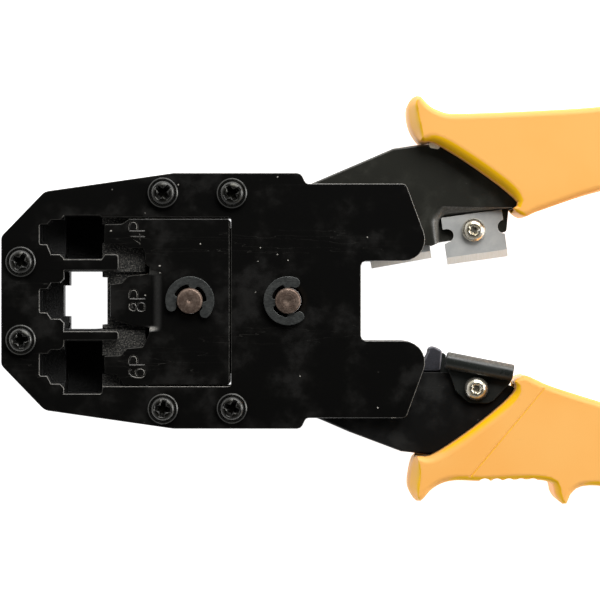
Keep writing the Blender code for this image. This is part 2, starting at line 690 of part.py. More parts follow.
def build_grips():
    """Moulded grips over the lever tails: a finger stop at the front, and a hook on the lower."""
    tail = arc((TAIL_CENTRE, TAIL_MIDDLE), TAIL_RADIUS, -85, 85, 12)
    inner = [(105.0, 7.9), (130.0, 8.2)]
    upper_outline = [
        (64.6, 18.5), (66.7, 16.8), (68.8, 17.6), (71.6, 18.6), (82.0, 22.0),
        *opened(inner + tail + [(130.0, 22.6), (105.0, 23.2)]),
        (82.0, 38.8), (70.1, 38.0), (52.7, 37.4), (51.2, 37.5), (49.7, 38.0), (48.1, 38.8),
        (46.8, 40.0), (46.2, 40.8), (45.3, 41.0), (44.3, 40.5), (43.5, 39.1), (43.4, 37.8),
        (43.8, 35.2), (44.8, 33.2), (46.3, 31.7), (48.3, 31.7), (65.6, 19.3),
    ]
    upper_grip = add_part("upper_grip", slab([upper_outline], -GRIP_HALF, GRIP_HALF), upper,
                          "orange_grip")
    cut(upper_grip, slab([grip_pocket(31.65, 1)], -UPPER_CHANNEL - FIT, UPPER_CHANNEL + FIT),
        "pocket")
    lower_outline = mirrored([
        (64.8, 16.1), (66.8, 14.9), (68.9, 15.6), (71.0, 16.6), (82.0, 20.2),
        *opened(inner + tail + [(130.0, 22.6), (105.0, 22.8)]),
        (82.0, 37.0), (78.7, 37.0), (77.2, 37.5), (75.9, 38.8), (75.3, 40.3), (74.8, 40.7),
        (73.9, 40.2), (72.9, 38.8), (72.1, 36.4), (57.6, 36.0), (52.7, 35.9), (50.2, 36.5),
        (48.1, 37.8), (46.7, 39.4), (45.8, 40.1), (44.8, 39.6), (43.8, 37.8), (43.7, 35.7),
        (45.1, 31.2), (47.9, 31.0), (65.2, 17.5),
    ])
    lower_grip = add_part("lower_grip", slab([lower_outline[::-1]], -GRIP_HALF, GRIP_HALF), lower,
                          "orange_grip")
    cut(lower_grip, slab([grip_pocket(31.2, -1)], -LOWER_CHANNEL - FIT, LOWER_CHANNEL + FIT),
        "pocket")
    for number in range(5):
        x = 58.9 + 2.3 * number
        cut(lower_grip, cylinder((x, -37.0, -BEYOND), (x, -37.0, BEYOND), 1.3, 16),
            f"serration_{number + 1}")


# ---------------------------------------------------------------- assembly

clear_scene()
parts = new_collection("rj45_crimping_tool")
cutters = new_collection("cutters")

head = new_empty("head")
ram = new_empty("ram", head)
upper = new_empty("upper_handle", ram)
lower = new_empty("lower_handle", ram)

build_plates()
build_die_block()
build_rails()
build_head_screws()
add_pin("cam_pin", (CAM_PIN_X, 0.0), head)
add_clips("cam_pin_clip", (CAM_PIN_X, 0.0), head, 7)

build_ram()
add_pin("ram_pin", (0.0, 0.0), ram)
add_clips("ram_pin_clip", (0.0, 0.0), ram, 259)
build_spring()

build_upper_lever()
build_blades()
build_lower_lever()
build_guard()
build_cable_seat()
build_grips()
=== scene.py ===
"""Looks of the modular plug crimping tool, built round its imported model.

Lengths in this script are millimetres in the tool's own drawing: from the ram pin's axis, in the
tool's mid-plane, +X towards the grips, +Y towards the upper grip, +Z out of the front plate.
"""

import json
import math

import bmesh
import bpy
from mathutils import Matrix, Vector


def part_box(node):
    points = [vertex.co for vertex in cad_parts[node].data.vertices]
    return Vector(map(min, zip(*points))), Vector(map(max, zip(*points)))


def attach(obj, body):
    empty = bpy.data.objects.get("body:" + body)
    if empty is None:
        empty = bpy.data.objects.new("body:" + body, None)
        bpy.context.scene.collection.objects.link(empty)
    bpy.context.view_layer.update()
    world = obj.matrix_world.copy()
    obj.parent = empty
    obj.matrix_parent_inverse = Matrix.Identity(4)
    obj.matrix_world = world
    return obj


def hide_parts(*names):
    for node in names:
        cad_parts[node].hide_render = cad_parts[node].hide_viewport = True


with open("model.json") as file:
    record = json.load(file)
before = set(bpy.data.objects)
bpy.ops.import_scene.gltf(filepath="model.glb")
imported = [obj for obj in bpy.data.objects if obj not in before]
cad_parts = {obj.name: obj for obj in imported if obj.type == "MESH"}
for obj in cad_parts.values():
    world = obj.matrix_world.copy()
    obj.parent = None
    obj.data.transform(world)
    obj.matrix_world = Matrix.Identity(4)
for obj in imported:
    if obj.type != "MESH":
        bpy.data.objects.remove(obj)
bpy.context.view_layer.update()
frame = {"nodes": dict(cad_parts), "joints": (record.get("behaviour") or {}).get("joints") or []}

MM = 0.001
joints = {joint["name"]: joint for joint in frame["joints"]}
PIVOT = Vector(joints["upper_handle_pivot"]["pos_m"])
CLOSING_ANGLE = math.radians(joints["upper_handle_pivot"]["range_deg"][1])

TO_WORLD = Matrix.Translation(PIVOT) @ Matrix.Scale(MM, 4)
TO_DRAWING = Matrix.Scale(1 / MM, 4) @ Matrix.Translation(-PIVOT)

# Angles between faces: flat enough to join, still shaded smooth, and sharp enough to round off
FLAT_ANGLE = math.radians(0.6)
SHARP_ANGLE = math.radians(28)
SMOOTH_ANGLE = math.radians(32)
WELD = 0.0005

# Faces of the CAD layers, measured from the mid-plane
PLATE_TOP = (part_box("front_plate")[1].z - PIVOT.z) / MM
GRIP_HALF = (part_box("upper_grip")[1].z - PIVOT.z) / MM
UPPER_HALF = (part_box("upper_lever")[1].z - PIVOT.z) / MM
LOWER_HALF = (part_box("lower_lever")[1].z - PIVOT.z) / MM
TAIL_END = (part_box("upper_grip")[1].x - PIVOT.x) / MM


# ---------------------------------------------------------------- material graphs

def new_material(name, colour, roughness, metallic=0.0, **constants):
    """A Principled material, with its graph's shader, for the functions below to add to."""
    material = bpy.data.materials.new(name)
    material.use_nodes = True
    shader = material.node_tree.nodes["Principled BSDF"]
    shader.inputs["Base Color"].default_value = (*colour, 1.0)
    shader.inputs["Roughness"].default_value = roughness
    shader.inputs["Metallic"].default_value = metallic
    for socket, value in constants.items():
        shader.inputs[socket.replace("_", " ")].default_value = value
    return material, material.node_tree, shader


def add(tree, kind, settings=None, **inputs):
    """Add a node; an input is a constant, or another node's output to link from."""
    node = tree.nodes.new("ShaderNode" + kind)
    for name, value in (settings or {}).items():
        setattr(node, name, value)
    for name, value in inputs.items():
        key = int(name[1:]) if name[0] == "_" else name.replace("_", " ")
        if isinstance(value, bpy.types.NodeSocket):
            tree.links.new(value, node.inputs[key])
        else:
            node.inputs[key].default_value = value
    return node


def place(tree, stretch=(1.0, 1.0, 1.0)):
    """The object's own coordinates in millimetres, stretched along its axes."""
    where = add(tree, "TexCoord").outputs["Object"]
    scale = tuple(1000.0 * factor for factor in stretch)
    return add(tree, "Mapping", Vector=where, Scale=scale).outputs["Vector"]


def drawing_place(tree):
    """Millimetres in the tool's drawing, for marks that have a place of their own."""
    where = add(tree, "TexCoord").outputs["Object"]
    return add(tree, "Mapping", Vector=where, Location=tuple(-PIVOT / MM),
               Scale=(1 / MM, 1 / MM, 1 / MM)).outputs["Vector"]


def noise(tree, where, scale, detail=4.0, roughness=0.6):
    return add(tree, "TexNoise", Vector=where, Scale=scale, Detail=detail,
               Roughness=roughness).outputs["Fac"]


def ramp(tree, value, low, high, from_value=0.0, to_value=1.0):
    """Map a value from low..high to from_value..to_value, smoothly and clamped."""
    node = add(tree, "MapRange", {"interpolation_type": "SMOOTHSTEP"}, Value=value)
    for index, number in enumerate((low, high, from_value, to_value), 1):
        node.inputs[index].default_value = number
    return node.outputs["Result"]


def mix(tree, factor, first, second):
    """Blend two colours; each is a colour or a colour output."""
    node = add(tree, "Mix", {"data_type": "RGBA"}, _0=factor)
    for index, colour in ((6, first), (7, second)):
        if isinstance(colour, bpy.types.NodeSocket):
            tree.links.new(colour, node.inputs[index])
        else:
            node.inputs[index].default_value = (*colour, 1.0)
    return node.outputs[2]


def maths(tree, operation, first, second=0.0):
    return add(tree, "Math", {"operation": operation}, _0=first, _1=second).outputs[0]


def edge_mask(tree):
    """One on the slanted faces of small edge bevels, zero on flats and on upright sides."""
    normal = add(tree, "NewGeometry").outputs["Normal"]
    upright = maths(tree, "ABSOLUTE", add(tree, "SeparateXYZ", Vector=normal).outputs["Z"])
    rising = ramp(tree, upright, 0.04, 0.60)
    falling = ramp(tree, upright, 0.75, 0.995, 1.0, 0.0)
    return maths(tree, "MULTIPLY", rising, falling)


def bump(tree, shader, height, strength, distance):
    node = add(tree, "Bump", Height=height, Strength=strength, Distance=distance * MM)
    tree.links.new(node.outputs["Normal"], shader.inputs["Normal"])


def spot(tree, where, centre, size, ragged=0.0):
    """One inside an upright ellipse at a place in the drawing, zero outside, with a rough rim."""
    local = add(tree, "Mapping", {"vector_type": "POINT"}, Vector=where,
                Location=(-centre[0] / size[0], -centre[1] / size[1], 0.0),
                Scale=(1 / size[0], 1 / size[1], 0.0)).outputs["Vector"]
    reach = add(tree, "VectorMath", {"operation": "LENGTH"}, _0=local).outputs["Value"]
    rough = maths(tree, "MULTIPLY", noise(tree, where, 2.5, 3.0), ragged)
    return ramp(tree, maths(tree, "ADD", reach, rough), 0.9, 1.1, 1.0, 0.0)


def black_paint(name, colour, dust, roughness=0.35, wear_and_highlight=0.5, chips=0.5, bare=(), grime_and_shade=(),
                shaded_side_share=0.2):
    """Satin black paint: handling marks, hair scratches, chips, worn edges that also carry a painted
    highlight, brightest on edges facing up and right, and oily rings with painted shade.
    """
    material, tree, shader = new_material(name, colour, roughness, Specular_IOR_Level=0.35)
    where = place(tree)
    drawn = drawing_place(tree)
    clouds = ramp(tree, noise(tree, where, 0.11, 5.0, 0.62), 0.44, 0.72)
    grain = ramp(tree, noise(tree, where, 2.6, 3.0, 0.7), 0.35, 0.75)
    smudge = maths(tree, "MULTIPLY", clouds, ramp(tree, grain, 0.0, 1.0, 0.55, 1.0))
    base = mix(tree, smudge, colour, dust)
    # hair scratches: thin bands of a stretched, turned noise, in a few places only
    for turn in (0.6, -0.9):
        across = add(tree, "Mapping", Vector=where, Rotation=(0.0, 0.0, turn),
                     Scale=(0.10, 1.3, 1.0)).outputs["Vector"]
        line = maths(tree, "ABSOLUTE",
                     maths(tree, "SUBTRACT", noise(tree, across, 0.6, 2.0, 0.4), 0.5))
        hair = maths(tree, "MULTIPLY", ramp(tree, line, 0.0, 0.003, 1.0, 0.0),
                     ramp(tree, noise(tree, across, 0.09, 1.0), 0.58, 0.64))
        base = mix(tree, maths(tree, "MULTIPLY", hair, 0.35), base, (0.10, 0.095, 0.085))
    # chips: the centres of a few cells, with a ragged outline
    cell = add(tree, "TexVoronoi", Vector=where, Scale=0.45).outputs
    ragged = maths(tree, "MULTIPLY", noise(tree, where, 3.5, 2.0), 0.30)
    near = maths(tree, "ADD", cell["Distance"], ragged)
    rare = add(tree, "SeparateColor", Color=cell["Color"]).outputs["Red"]
    bare_and_highlight = maths(tree, "MULTIPLY", ramp(tree, near, 0.18, 0.23, 1.0, 0.0),
                  ramp(tree, rare, 1.0 - 0.16 * chips, 1.0 - 0.15 * chips))
    # edges: worn bare metal, and a painted highlight where the bevels catch the light
    edge = maths(tree, "MULTIPLY", edge_mask(tree), ramp(tree, grain, 0.0, 1.0, 0.45, 1.0))
    # painted highlight: edges facing up and right, towards the key light, come out lighter than edges
    # facing away
    facing = add(tree, "SeparateXYZ", Vector=add(tree, "NewGeometry").outputs["Normal"]).outputs
    facing_light = maths(tree, "ADD", maths(tree, "MULTIPLY", facing["X"], 0.6),
                    maths(tree, "MULTIPLY", facing["Y"], 0.8))
    edge = maths(tree, "MULTIPLY", edge, ramp(tree, facing_light, -0.2, 0.4, shaded_side_share, 1.0))
    bare_and_highlight = maths(tree, "MAXIMUM", bare_and_highlight, maths(tree, "MULTIPLY", edge, wear_and_highlight))
    for centre, size in bare:
        bare_and_highlight = maths(tree, "MAXIMUM", bare_and_highlight, spot(tree, drawn, centre, size, 0.9))
    # bare metal colour for chips and worn edges, also used as the painted edge highlight
    base = mix(tree, bare_and_highlight, base, (0.42, 0.40, 0.36))
    # dark rings round the pins: oily grime, with painted shade in the holes
    for centre, size in grime_and_shade:
        base = mix(tree, spot(tree, drawn, centre, size, 0.15), base, (0.004, 0.003, 0.002))
    tree.links.new(base, shader.inputs["Base Color"])
    gloss = ramp(tree, clouds, 0.0, 1.0, roughness - 0.06, roughness + 0.10)
    tree.links.new(gloss, shader.inputs["Roughness"])
    orange_peel = noise(tree, where, 5.5, 2.0, 0.5)
    bump(tree, shader, orange_peel, 0.25, 0.02)
    return material


def sandy_steel(name):
    """Blackened die steel, with a coarse sandy, glinting skin round the punch channels only."""
    material, tree, shader = new_material(name, (0.004, 0.004, 0.0035), 0.5, 0.2)
    where = place(tree)
    grains = noise(tree, where, 3.2, 4.0, 0.75)
    along = add(tree, "SeparateXYZ", Vector=drawing_place(tree)).outputs["X"]
    sand = maths(tree, "MULTIPLY", ramp(tree, grains, 0.47, 0.68), ramp(tree, along, -18.4, -17.6))
    base = mix(tree, sand, (0.004, 0.004, 0.0035), (0.16, 0.15, 0.13))
    tree.links.new(base, shader.inputs["Base Color"])
    bump(tree, shader, grains, 0.9, 0.12)
    return material


def oiled_steel(name, colour, roughness, tint, edge):
    """Bare or oxidised steel with fine handling marks, stains and brighter edges: worn steel with a
    painted highlight.
    """
    material, tree, shader = new_material(name, colour, roughness, 0.9)
    where = place(tree)
    stain = ramp(tree, noise(tree, where, 0.8, 4.0, 0.65), 0.38, 0.68)
    base = mix(tree, stain, colour, tint)
    # brighter edges: rubbed steel, and a painted highlight on the bevels
    bright = tuple(min(1.0, 2.6 * channel + 0.16) for channel in colour)
    base = mix(tree, maths(tree, "MULTIPLY", edge_mask(tree), edge), base, bright)
    tree.links.new(base, shader.inputs["Base Color"])
    scratch = noise(tree, place(tree, (1.0, 6.0, 1.0)), 1.6, 3.0, 0.6)
    tree.links.new(ramp(tree, scratch, 0.3, 0.7, roughness - 0.07, roughness + 0.12),
                   shader.inputs["Roughness"])
    bump(tree, shader, scratch, 0.15, 0.02)
    return material


def worn_pin(name):
    """Coppery turned pin ends; below each end, down through the groove, the pin is painted near black:
    painted shade inside the hole, with old grease.
    """
    material, tree, shader = new_material(name, (0.16, 0.11, 0.085), 0.45, 0.85)
    where = place(tree)
    stain = ramp(tree, noise(tree, where, 1.4, 4.0, 0.65), 0.38, 0.68)
    base = mix(tree, stain, (0.13, 0.09, 0.07), (0.23, 0.17, 0.135))
    # painted shade: the pin below its end, deep in the hole, is darkened to near black
    height = add(tree, "SeparateXYZ", Vector=drawing_place(tree)).outputs["Z"]
    below = ramp(tree, maths(tree, "ABSOLUTE", height), 8.55, 8.75, 1.0, 0.0)
    base = mix(tree, below, base, (0.006, 0.004, 0.003))
    tree.links.new(base, shader.inputs["Base Color"])
    scratch = noise(tree, place(tree, (1.0, 6.0, 1.0)), 1.6, 3.0, 0.6)
    tree.links.new(ramp(tree, scratch, 0.3, 0.7, 0.38, 0.55), shader.inputs["Roughness"])
    bump(tree, shader, scratch, 0.2, 0.02)
    return material


def ground_blade(name, angle):
    """Grey tool steel whose ground bevel is bright, with grinding lines across the edge; the bevel's
    near-white colour is bright ground steel with a painted highlight.
    """
    material, tree, shader = new_material(name, (0.48, 0.48, 0.46), 0.45, 0.6)
    where = place(tree)
    turned = add(tree, "Mapping", Vector=where, Rotation=(0.0, 0.0, -angle),
                 Scale=(7.0, 0.15, 1.0)).outputs["Vector"]
    lines = noise(tree, turned, 1.0, 3.0, 0.7)
    normal = add(tree, "NewGeometry").outputs["Normal"]
    upright = maths(tree, "ABSOLUTE", add(tree, "SeparateXYZ", Vector=normal).outputs["Z"])
    ground = maths(tree, "MULTIPLY", ramp(tree, upright, 0.98, 0.93), ramp(tree, upright, 0.5, 0.7))
    cloudy = mix(tree, ramp(tree, noise(tree, where, 0.35), 0.4, 0.7), (0.56, 0.565, 0.55),
                 (0.64, 0.64, 0.615))
    # ground bevel near white: bright ground steel plus a painted highlight, so it stays light where it
    # faces away from the lamps
    bright = mix(tree, ramp(tree, lines, 0.35, 0.65), (0.92, 0.90, 0.82), (1.0, 0.98, 0.93))
    tree.links.new(mix(tree, ground, cloudy, bright), shader.inputs["Base Color"])
    tree.links.new(ramp(tree, ground, 0.0, 1.0, 0.45, 0.60), shader.inputs["Roughness"])
    tree.links.new(ramp(tree, ground, 0.0, 1.0, 0.55, 0.0), shader.inputs["Metallic"])
    bump(tree, shader, lines, 0.12, 0.02)
    return material


def moulded_grip(name):
    """Peach-orange moulded plastic whose edges that turn down and left are painted a deeper yellow as
    shade.
    """
    colour = (0.93, 0.435, 0.100)
    material, tree, shader = new_material(name, colour, 0.46, Specular_IOR_Level=0.25)
    where = place(tree)
    clouds = ramp(tree, noise(tree, where, 0.045, 3.0, 0.5), 0.35, 0.7)
    base = mix(tree, clouds, colour, (0.94, 0.475, 0.125))
    marks = ramp(tree, noise(tree, place(tree, (1.0, 2.2, 1.0)), 0.16, 4.0, 0.7), 0.68, 0.80)
    base = mix(tree, maths(tree, "MULTIPLY", marks, 0.14), base, (0.50, 0.22, 0.06))
    normal = add(tree, "NewGeometry").outputs["Normal"]
    part = add(tree, "SeparateXYZ", Vector=normal).outputs
    # painted shade: slanted edges facing down and left, away from the light, turn a deeper, saturated
    # yellow
    away = maths(tree, "SUBTRACT", maths(tree, "MULTIPLY", part["X"], -0.9),
                 maths(tree, "MULTIPLY", part["Y"], 0.35))
    slant = maths(tree, "MULTIPLY", ramp(tree, part["Z"], 0.30, 0.48),
                  ramp(tree, part["Z"], 0.95, 0.998, 1.0, 0.0))
    shaded_edge = maths(tree, "MULTIPLY", slant, ramp(tree, away, 0.06, 0.20))
    base = mix(tree, shaded_edge, base, (0.96, 0.52, 0.0))
    tree.links.new(base, shader.inputs["Base Color"])
    fine = noise(tree, where, 4.0, 3.0, 0.6)
    tree.links.new(ramp(tree, fine, 0.3, 0.7, 0.38, 0.50), shader.inputs["Roughness"])
    bump(tree, shader, fine, 0.12, 0.02)
    return material


def dark_plastic(name, colour, edge_highlight=(0.30, 0.30, 0.34)):
    material, tree, shader = new_material(name, colour, 0.4, Specular_IOR_Level=0.5)
    where = place(tree)
    fine = noise(tree, where, 3.0, 4.0, 0.7)
    lighter = tuple(min(0.95, 1.7 * channel) for channel in colour)
    base = mix(tree, ramp(tree, fine, 0.4, 0.75), colour, lighter)
    # painted highlight: the rounded edges are coloured lighter where they would catch the light
    base = mix(tree, maths(tree, "MULTIPLY", edge_mask(tree), 0.5), base, edge_highlight)
    tree.links.new(base, shader.inputs["Base Color"])
    bump(tree, shader, fine, 0.2, 0.03)
    return material


# plates and covers: edges worn bare with a painted highlight on them; dark rings round both pins are
# grime with painted shade
PAINT = black_paint(
    "satin_black_plate", (0.0016, 0.0015, 0.0013), (0.0046, 0.0041, 0.0031), wear_and_highlight=0.8, chips=0.8,
    bare=[((40.6, -23.5), (1.0, 0.35)), ((-6.1, 7.0), (0.34, 0.22)), ((-6.0, 5.6), (0.24, 0.18)),
          ((14.1, 10.6), (0.2, 0.25)), ((19.6, 8.1), (0.25, 0.2)), ((13.6, 7.9), (0.25, 0.12))],
    grime_and_shade=[((0.0, 0.0), (3.9, 3.9)), ((19.6, 0.0), (4.1, 4.1))])
# upper lever: its edge colour, facing any way, paints the soft highlight along the joggle above the
# blade seat
UPPER_PAINT = black_paint("satin_black_upper_lever", (0.020, 0.020, 0.0165),
                          (0.045, 0.045, 0.036), 0.34, 0.36, 0.5, shaded_side_share=1.0)
LOWER_PAINT = black_paint("satin_black_lower_lever", (0.0035, 0.0035, 0.0033),
                          (0.012, 0.012, 0.011), 0.40, 0.06, 0.5)
# guard: its edge colour paints highlight bands along the rolled bar and a light rim on the flange
GUARD_PAINT = black_paint("satin_black_guard", (0.015, 0.017, 0.0155), (0.026, 0.027, 0.025),
                          0.32, 0.40, 0.2)
DIE = sandy_steel("sandy_die_steel")
OXIDE = oiled_steel("black_oxide", (0.012, 0.012, 0.0105), 0.26, (0.030, 0.029, 0.023), 0.4)
CLIP_STEEL = oiled_steel("clip_steel", (0.075, 0.079, 0.077), 0.42, (0.11, 0.115, 0.11), 0.35)
PIN_STEEL = worn_pin("pin_steel")
NICKEL = oiled_steel("nickel", (0.74, 0.70, 0.60), 0.20, (0.42, 0.36, 0.22), 0.2)
PLASTIC = dark_plastic("seat_plastic", (0.030, 0.030, 0.036))
CUTTER_STEEL = ground_blade("cutter_steel", math.radians(8.0))
STRIPPER_STEEL = ground_blade("stripper_steel", math.radians(10.1))
LABEL = oiled_steel("label_steel", (0.36, 0.35, 0.31), 0.5, (0.18, 0.17, 0.15), 0.0)
# pale cream, for the painted highlight where the upper grip meets its lever
NIB_HIGHLIGHT = dark_plastic("nib_highlight_cream", (0.90, 0.84, 0.60), (0.95, 0.90, 0.70))
# near-black ring round each pin: painted shade in the gap, with grease
SHADE_AND_GREASE = dark_plastic("painted_shade_and_grease", (0.008, 0.006, 0.004))
GRIP = moulded_grip("grip_plastic")


# ---------------------------------------------------------------- mesh helpers

def extent(node):
    """A CAD node's centre, bottom and top in the drawing."""
    low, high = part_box(node)
    return ((low + high) / 2 - PIVOT) / MM, (low.z - PIVOT.z) / MM, (high.z - PIVOT.z) / MM


def is_level(edge, middle):
    """True for an edge that lies flat, at one height."""
    return abs(edge.verts[0].co.z - edge.verts[1].co.z) < 1e-4


def new_piece(name, mesh, body, material, stands_for=()):
    """A new visible piece in world space, riding on a body and standing for CAD nodes."""
    piece = bpy.data.objects.new(name, mesh)
    bpy.context.scene.collection.objects.link(piece)
    mesh.materials.clear()
    mesh.materials.append(material)
    flat = piece.modifiers.new("flat_faces", "WEIGHTED_NORMAL")
    flat.keep_sharp = True
    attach(piece, body)
    if stands_for:
        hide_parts(*stands_for)
    return piece


def from_bmesh(name, shape):
    """Move a drawing in millimetres to its place in the world, as a smooth-shaded mesh."""
    bmesh.ops.transform(shape, matrix=TO_WORLD, verts=shape.verts)
    mesh = bpy.data.meshes.new(name)
    shape.to_mesh(mesh)
    shape.free()
    mesh.shade_smooth()
    mesh.set_sharp_from_angle(angle=SMOOTH_ANGLE)
    return mesh


def cad_shape(node):
    """A CAD node's solid as a drawing in millimetres, with its flat faces whole again."""
    shape = bmesh.new()
    shape.from_mesh(frame["nodes"][node].data)
    bmesh.ops.transform(shape, matrix=TO_DRAWING, verts=shape.verts)
    bmesh.ops.remove_doubles(shape, verts=shape.verts, dist=WELD)
    bmesh.ops.dissolve_limit(shape, angle_limit=FLAT_ANGLE, verts=shape.verts,
                             edges=shape.edges, use_dissolve_boundaries=False)
    return shape


def round_edges(shape, width, chosen, segments=2):
    """Bevel those sharp edges of a shape that a rule picks by their middle."""
    edges = []
    for edge in shape.edges:
        if len(edge.link_faces) == 2 and edge.calc_face_angle(0.0) > SHARP_ANGLE:
            middle = (edge.verts[0].co + edge.verts[1].co) / 2
            if chosen(edge, middle):
                edges.append(edge)
    bmesh.ops.bevel(shape, geom=edges, offset=width, offset_type="OFFSET", segments=segments,
                    profile=0.5, affect="EDGES", clamp_overlap=False, material=-1)


def finish_node(node, material, width=0.15):
    """Keep a CAD node's shape, with fine rounded edges and a better material."""
    part = frame["nodes"][node]
    if "custom_normal" in part.data.attributes:
        part.data.attributes.remove(part.data.attributes["custom_normal"])
    part.data.shade_smooth()
    part.data.materials.clear()
    part.data.materials.append(material)
    weld = part.modifiers.new("weld", "WELD")
    weld.merge_threshold = 0.000001
    flat = part.modifiers.new("whole_faces", "DECIMATE")
    flat.decimate_type = "DISSOLVE"
    flat.angle_limit = FLAT_ANGLE
    edge = part.modifiers.new("edge", "BEVEL")
    edge.width = width * MM
    edge.segments = 2
    edge.limit_method = "ANGLE"
    edge.angle_limit = SHARP_ANGLE
    edge.use_clamp_overlap = False
    edge.harden_normals = True


def flat_outlines(node):
    """The outline of a flat CAD node and the outlines of its holes, in the drawing."""
    shape = cad_shape(node)
    top = max(vert.co.z for vert in shape.verts)
    flat = {face for face in shape.faces
            if face.normal.z > 0.99 and abs(face.calc_center_median().z - top) < 0.01}
    after = {}
    for face in flat:
        for corner in face.loops:
            if not all(other in flat for other in corner.edge.link_faces):
                after[corner.vert] = corner.link_loop_next.vert
    outlines = []
    while after:
        vert, following = after.popitem()
        outline = [vert.co.xy.copy()]
        while following in after:
            outline.append(following.co.xy.copy())
            following = after.pop(following)
        outlines.append(outline)
    bottom = min(vert.co.z for vert in shape.verts)
    shape.free()
    return outlines, bottom, top


def pressed(node, body, material, edge=0.2):
    """A flat plate with the outlines of a CAD node and softly rounded edges all round."""
    outlines, bottom, top = flat_outlines(node)
    curve = bpy.data.curves.new(node, "CURVE")
    curve.dimensions = "2D"
    curve.fill_mode = "BOTH"
    curve.extrude = (top - bottom) / 2 - edge
    curve.bevel_depth = edge
    curve.bevel_resolution = 2
    curve.offset = -edge
    for outline in outlines:
        line = curve.splines.new("POLY")
        line.points.add(len(outline) - 1)
        line.use_cyclic_u = True
        for point, spot_at in zip(line.points, outline):
            point.co = (*spot_at, 0.0, 1.0)
    draft = bpy.data.objects.new(node, curve)
    bpy.context.scene.collection.objects.link(draft)
    graph = bpy.context.evaluated_depsgraph_get()
    mesh = bpy.data.meshes.new_from_object(draft.evaluated_get(graph))
    bpy.data.objects.remove(draft, do_unlink=True)
    shape = bmesh.new()
    shape.from_mesh(mesh)
    bmesh.ops.remove_doubles(shape, verts=shape.verts, dist=WELD)
    bmesh.ops.translate(shape, verts=shape.verts, vec=(0.0, 0.0, (top + bottom) / 2))
    bmesh.ops.recalc_face_normals(shape, faces=shape.faces)
    new_piece(node, from_bmesh(node, shape), body, material, [node])


def arc(centre, radius, start, end, steps):
    """Points on an arc between two angles in degrees."""
    angles = [math.radians(start + (end - start) * step / steps) for step in range(steps + 1)]
    return [(centre[0] + radius * math.cos(a), centre[1] + radius * math.sin(a)) for a in angles]


def opened(points):
    """Turn points of the closed upper handle to where they lie with the tool open."""
    cosine, sine = math.cos(CLOSING_ANGLE), math.sin(CLOSING_ANGLE)
    return [(x * cosine - y * sine, x * sine + y * cosine) for x, y in points]


def prism(outline, low, high):
    """A flat solid between two heights from one outline."""
    shape = bmesh.new()
    base = shape.faces.new([shape.verts.new((point[0], point[1], low)) for point in outline])
    top = bmesh.ops.extrude_face_region(shape, geom=[base])
    raised = [item for item in top["geom"] if isinstance(item, bmesh.types.BMVert)]
    bmesh.ops.translate(shape, verts=raised, vec=(0.0, 0.0, high - low))
    bmesh.ops.recalc_face_normals(shape, faces=shape.faces)
    return shape


def turned(profile, centre, steps=48):
    """A turned solid from its profile (radius, height): from axis to axis, or closed on itself."""
    shape = bmesh.new()
    rings = []
    for radius, height in profile:
        if radius < 1e-6:
            rings.append([shape.verts.new((centre[0], centre[1], height))])
            continue
        ring = arc(centre, radius, 0, 360, steps)[:-1]
        rings.append([shape.verts.new((*point, height)) for point in ring])
    pairs = list(zip(rings, rings[1:]))
    if len(rings[0]) > 1:
        pairs.append((rings[-1], rings[0]))
    for upper, lower in pairs:
        for step in range(steps):
            following = (step + 1) % steps
            corners = [upper[step % len(upper)], lower[step % len(lower)],
                       lower[following % len(lower)], upper[following % len(upper)]]
            unique = list(dict.fromkeys(corners))
            if len(unique) > 2:
                shape.faces.new(unique)
    bmesh.ops.recalc_face_normals(shape, faces=shape.faces)
    return shape


def skin(shape, rings):
    """Join rings of equal length into a closed solid, with a flat face over each end."""
    for first, second in zip(rings, rings[1:]):
        for index in range(len(first)):
            following = (index + 1) % len(first)
            shape.faces.new((first[index], first[following], second[following], second[index]))
    shape.faces.new(rings[0])
    shape.faces.new(rings[-1])
    bmesh.ops.recalc_face_normals(shape, faces=shape.faces)


def tube(points, radius, sides=12):
    """A round wire along a line of points, with flat ends."""
    points = [Vector(point) for point in points]
    shape = bmesh.new()
    rings = []
    across = None
    count = len(points)
    for index, point in enumerate(points):
        ahead = points[min(index + 1, count - 1)]
        behind = points[max(index - 1, 0)]
        along = (ahead - behind).normalized()
        if across is None:
            across = along.orthogonal().normalized()
        across = (across - along * across.dot(along)).normalized()
        other = along.cross(across)
        ring = [shape.verts.new(point + radius * (across * math.cos(a) + other * math.sin(a)))
                for a in (2 * math.pi * side / sides for side in range(sides))]
        rings.append(ring)
    skin(shape, rings)
    return shape


def boolean(mesh, tools, operation="DIFFERENCE", crossing=False):
    """Cut meshes away from a mesh, or join them to it; a crossing tool may cut through itself."""
    subject = bpy.data.objects.new("subject", mesh)
    bpy.context.scene.collection.objects.link(subject)
    helpers = []
    for tool in tools:
        helper = bpy.data.objects.new("tool", tool)
        bpy.context.scene.collection.objects.link(helper)
        helpers.append(helper)
        modifier = subject.modifiers.new("boolean", "BOOLEAN")
        modifier.operation = operation
        modifier.solver = "EXACT"
        modifier.use_self = crossing
        modifier.material_mode = "TRANSFER"
        modifier.object = helper
    graph = bpy.context.evaluated_depsgraph_get()
    result = bpy.data.meshes.new_from_object(subject.evaluated_get(graph))
    for item in (subject, *helpers):
        bpy.data.objects.remove(item, do_unlink=True)
    result.name = mesh.name
    return result


# ---------------------------------------------------------------- head

def build_head():
    pressed("front_plate", "head", PAINT)
    pressed("back_plate", "head", PAINT)
    finish_node("die_block", DIE, 0.12)
    pressed("upper_guide_rail", "head", DIE)
    pressed("lower_guide_rail", "head", DIE)
    for number in range(1, 7):
        pressed(f"head_nut_{number}", "head", OXIDE, 0.15)
        build_head_screw(number)


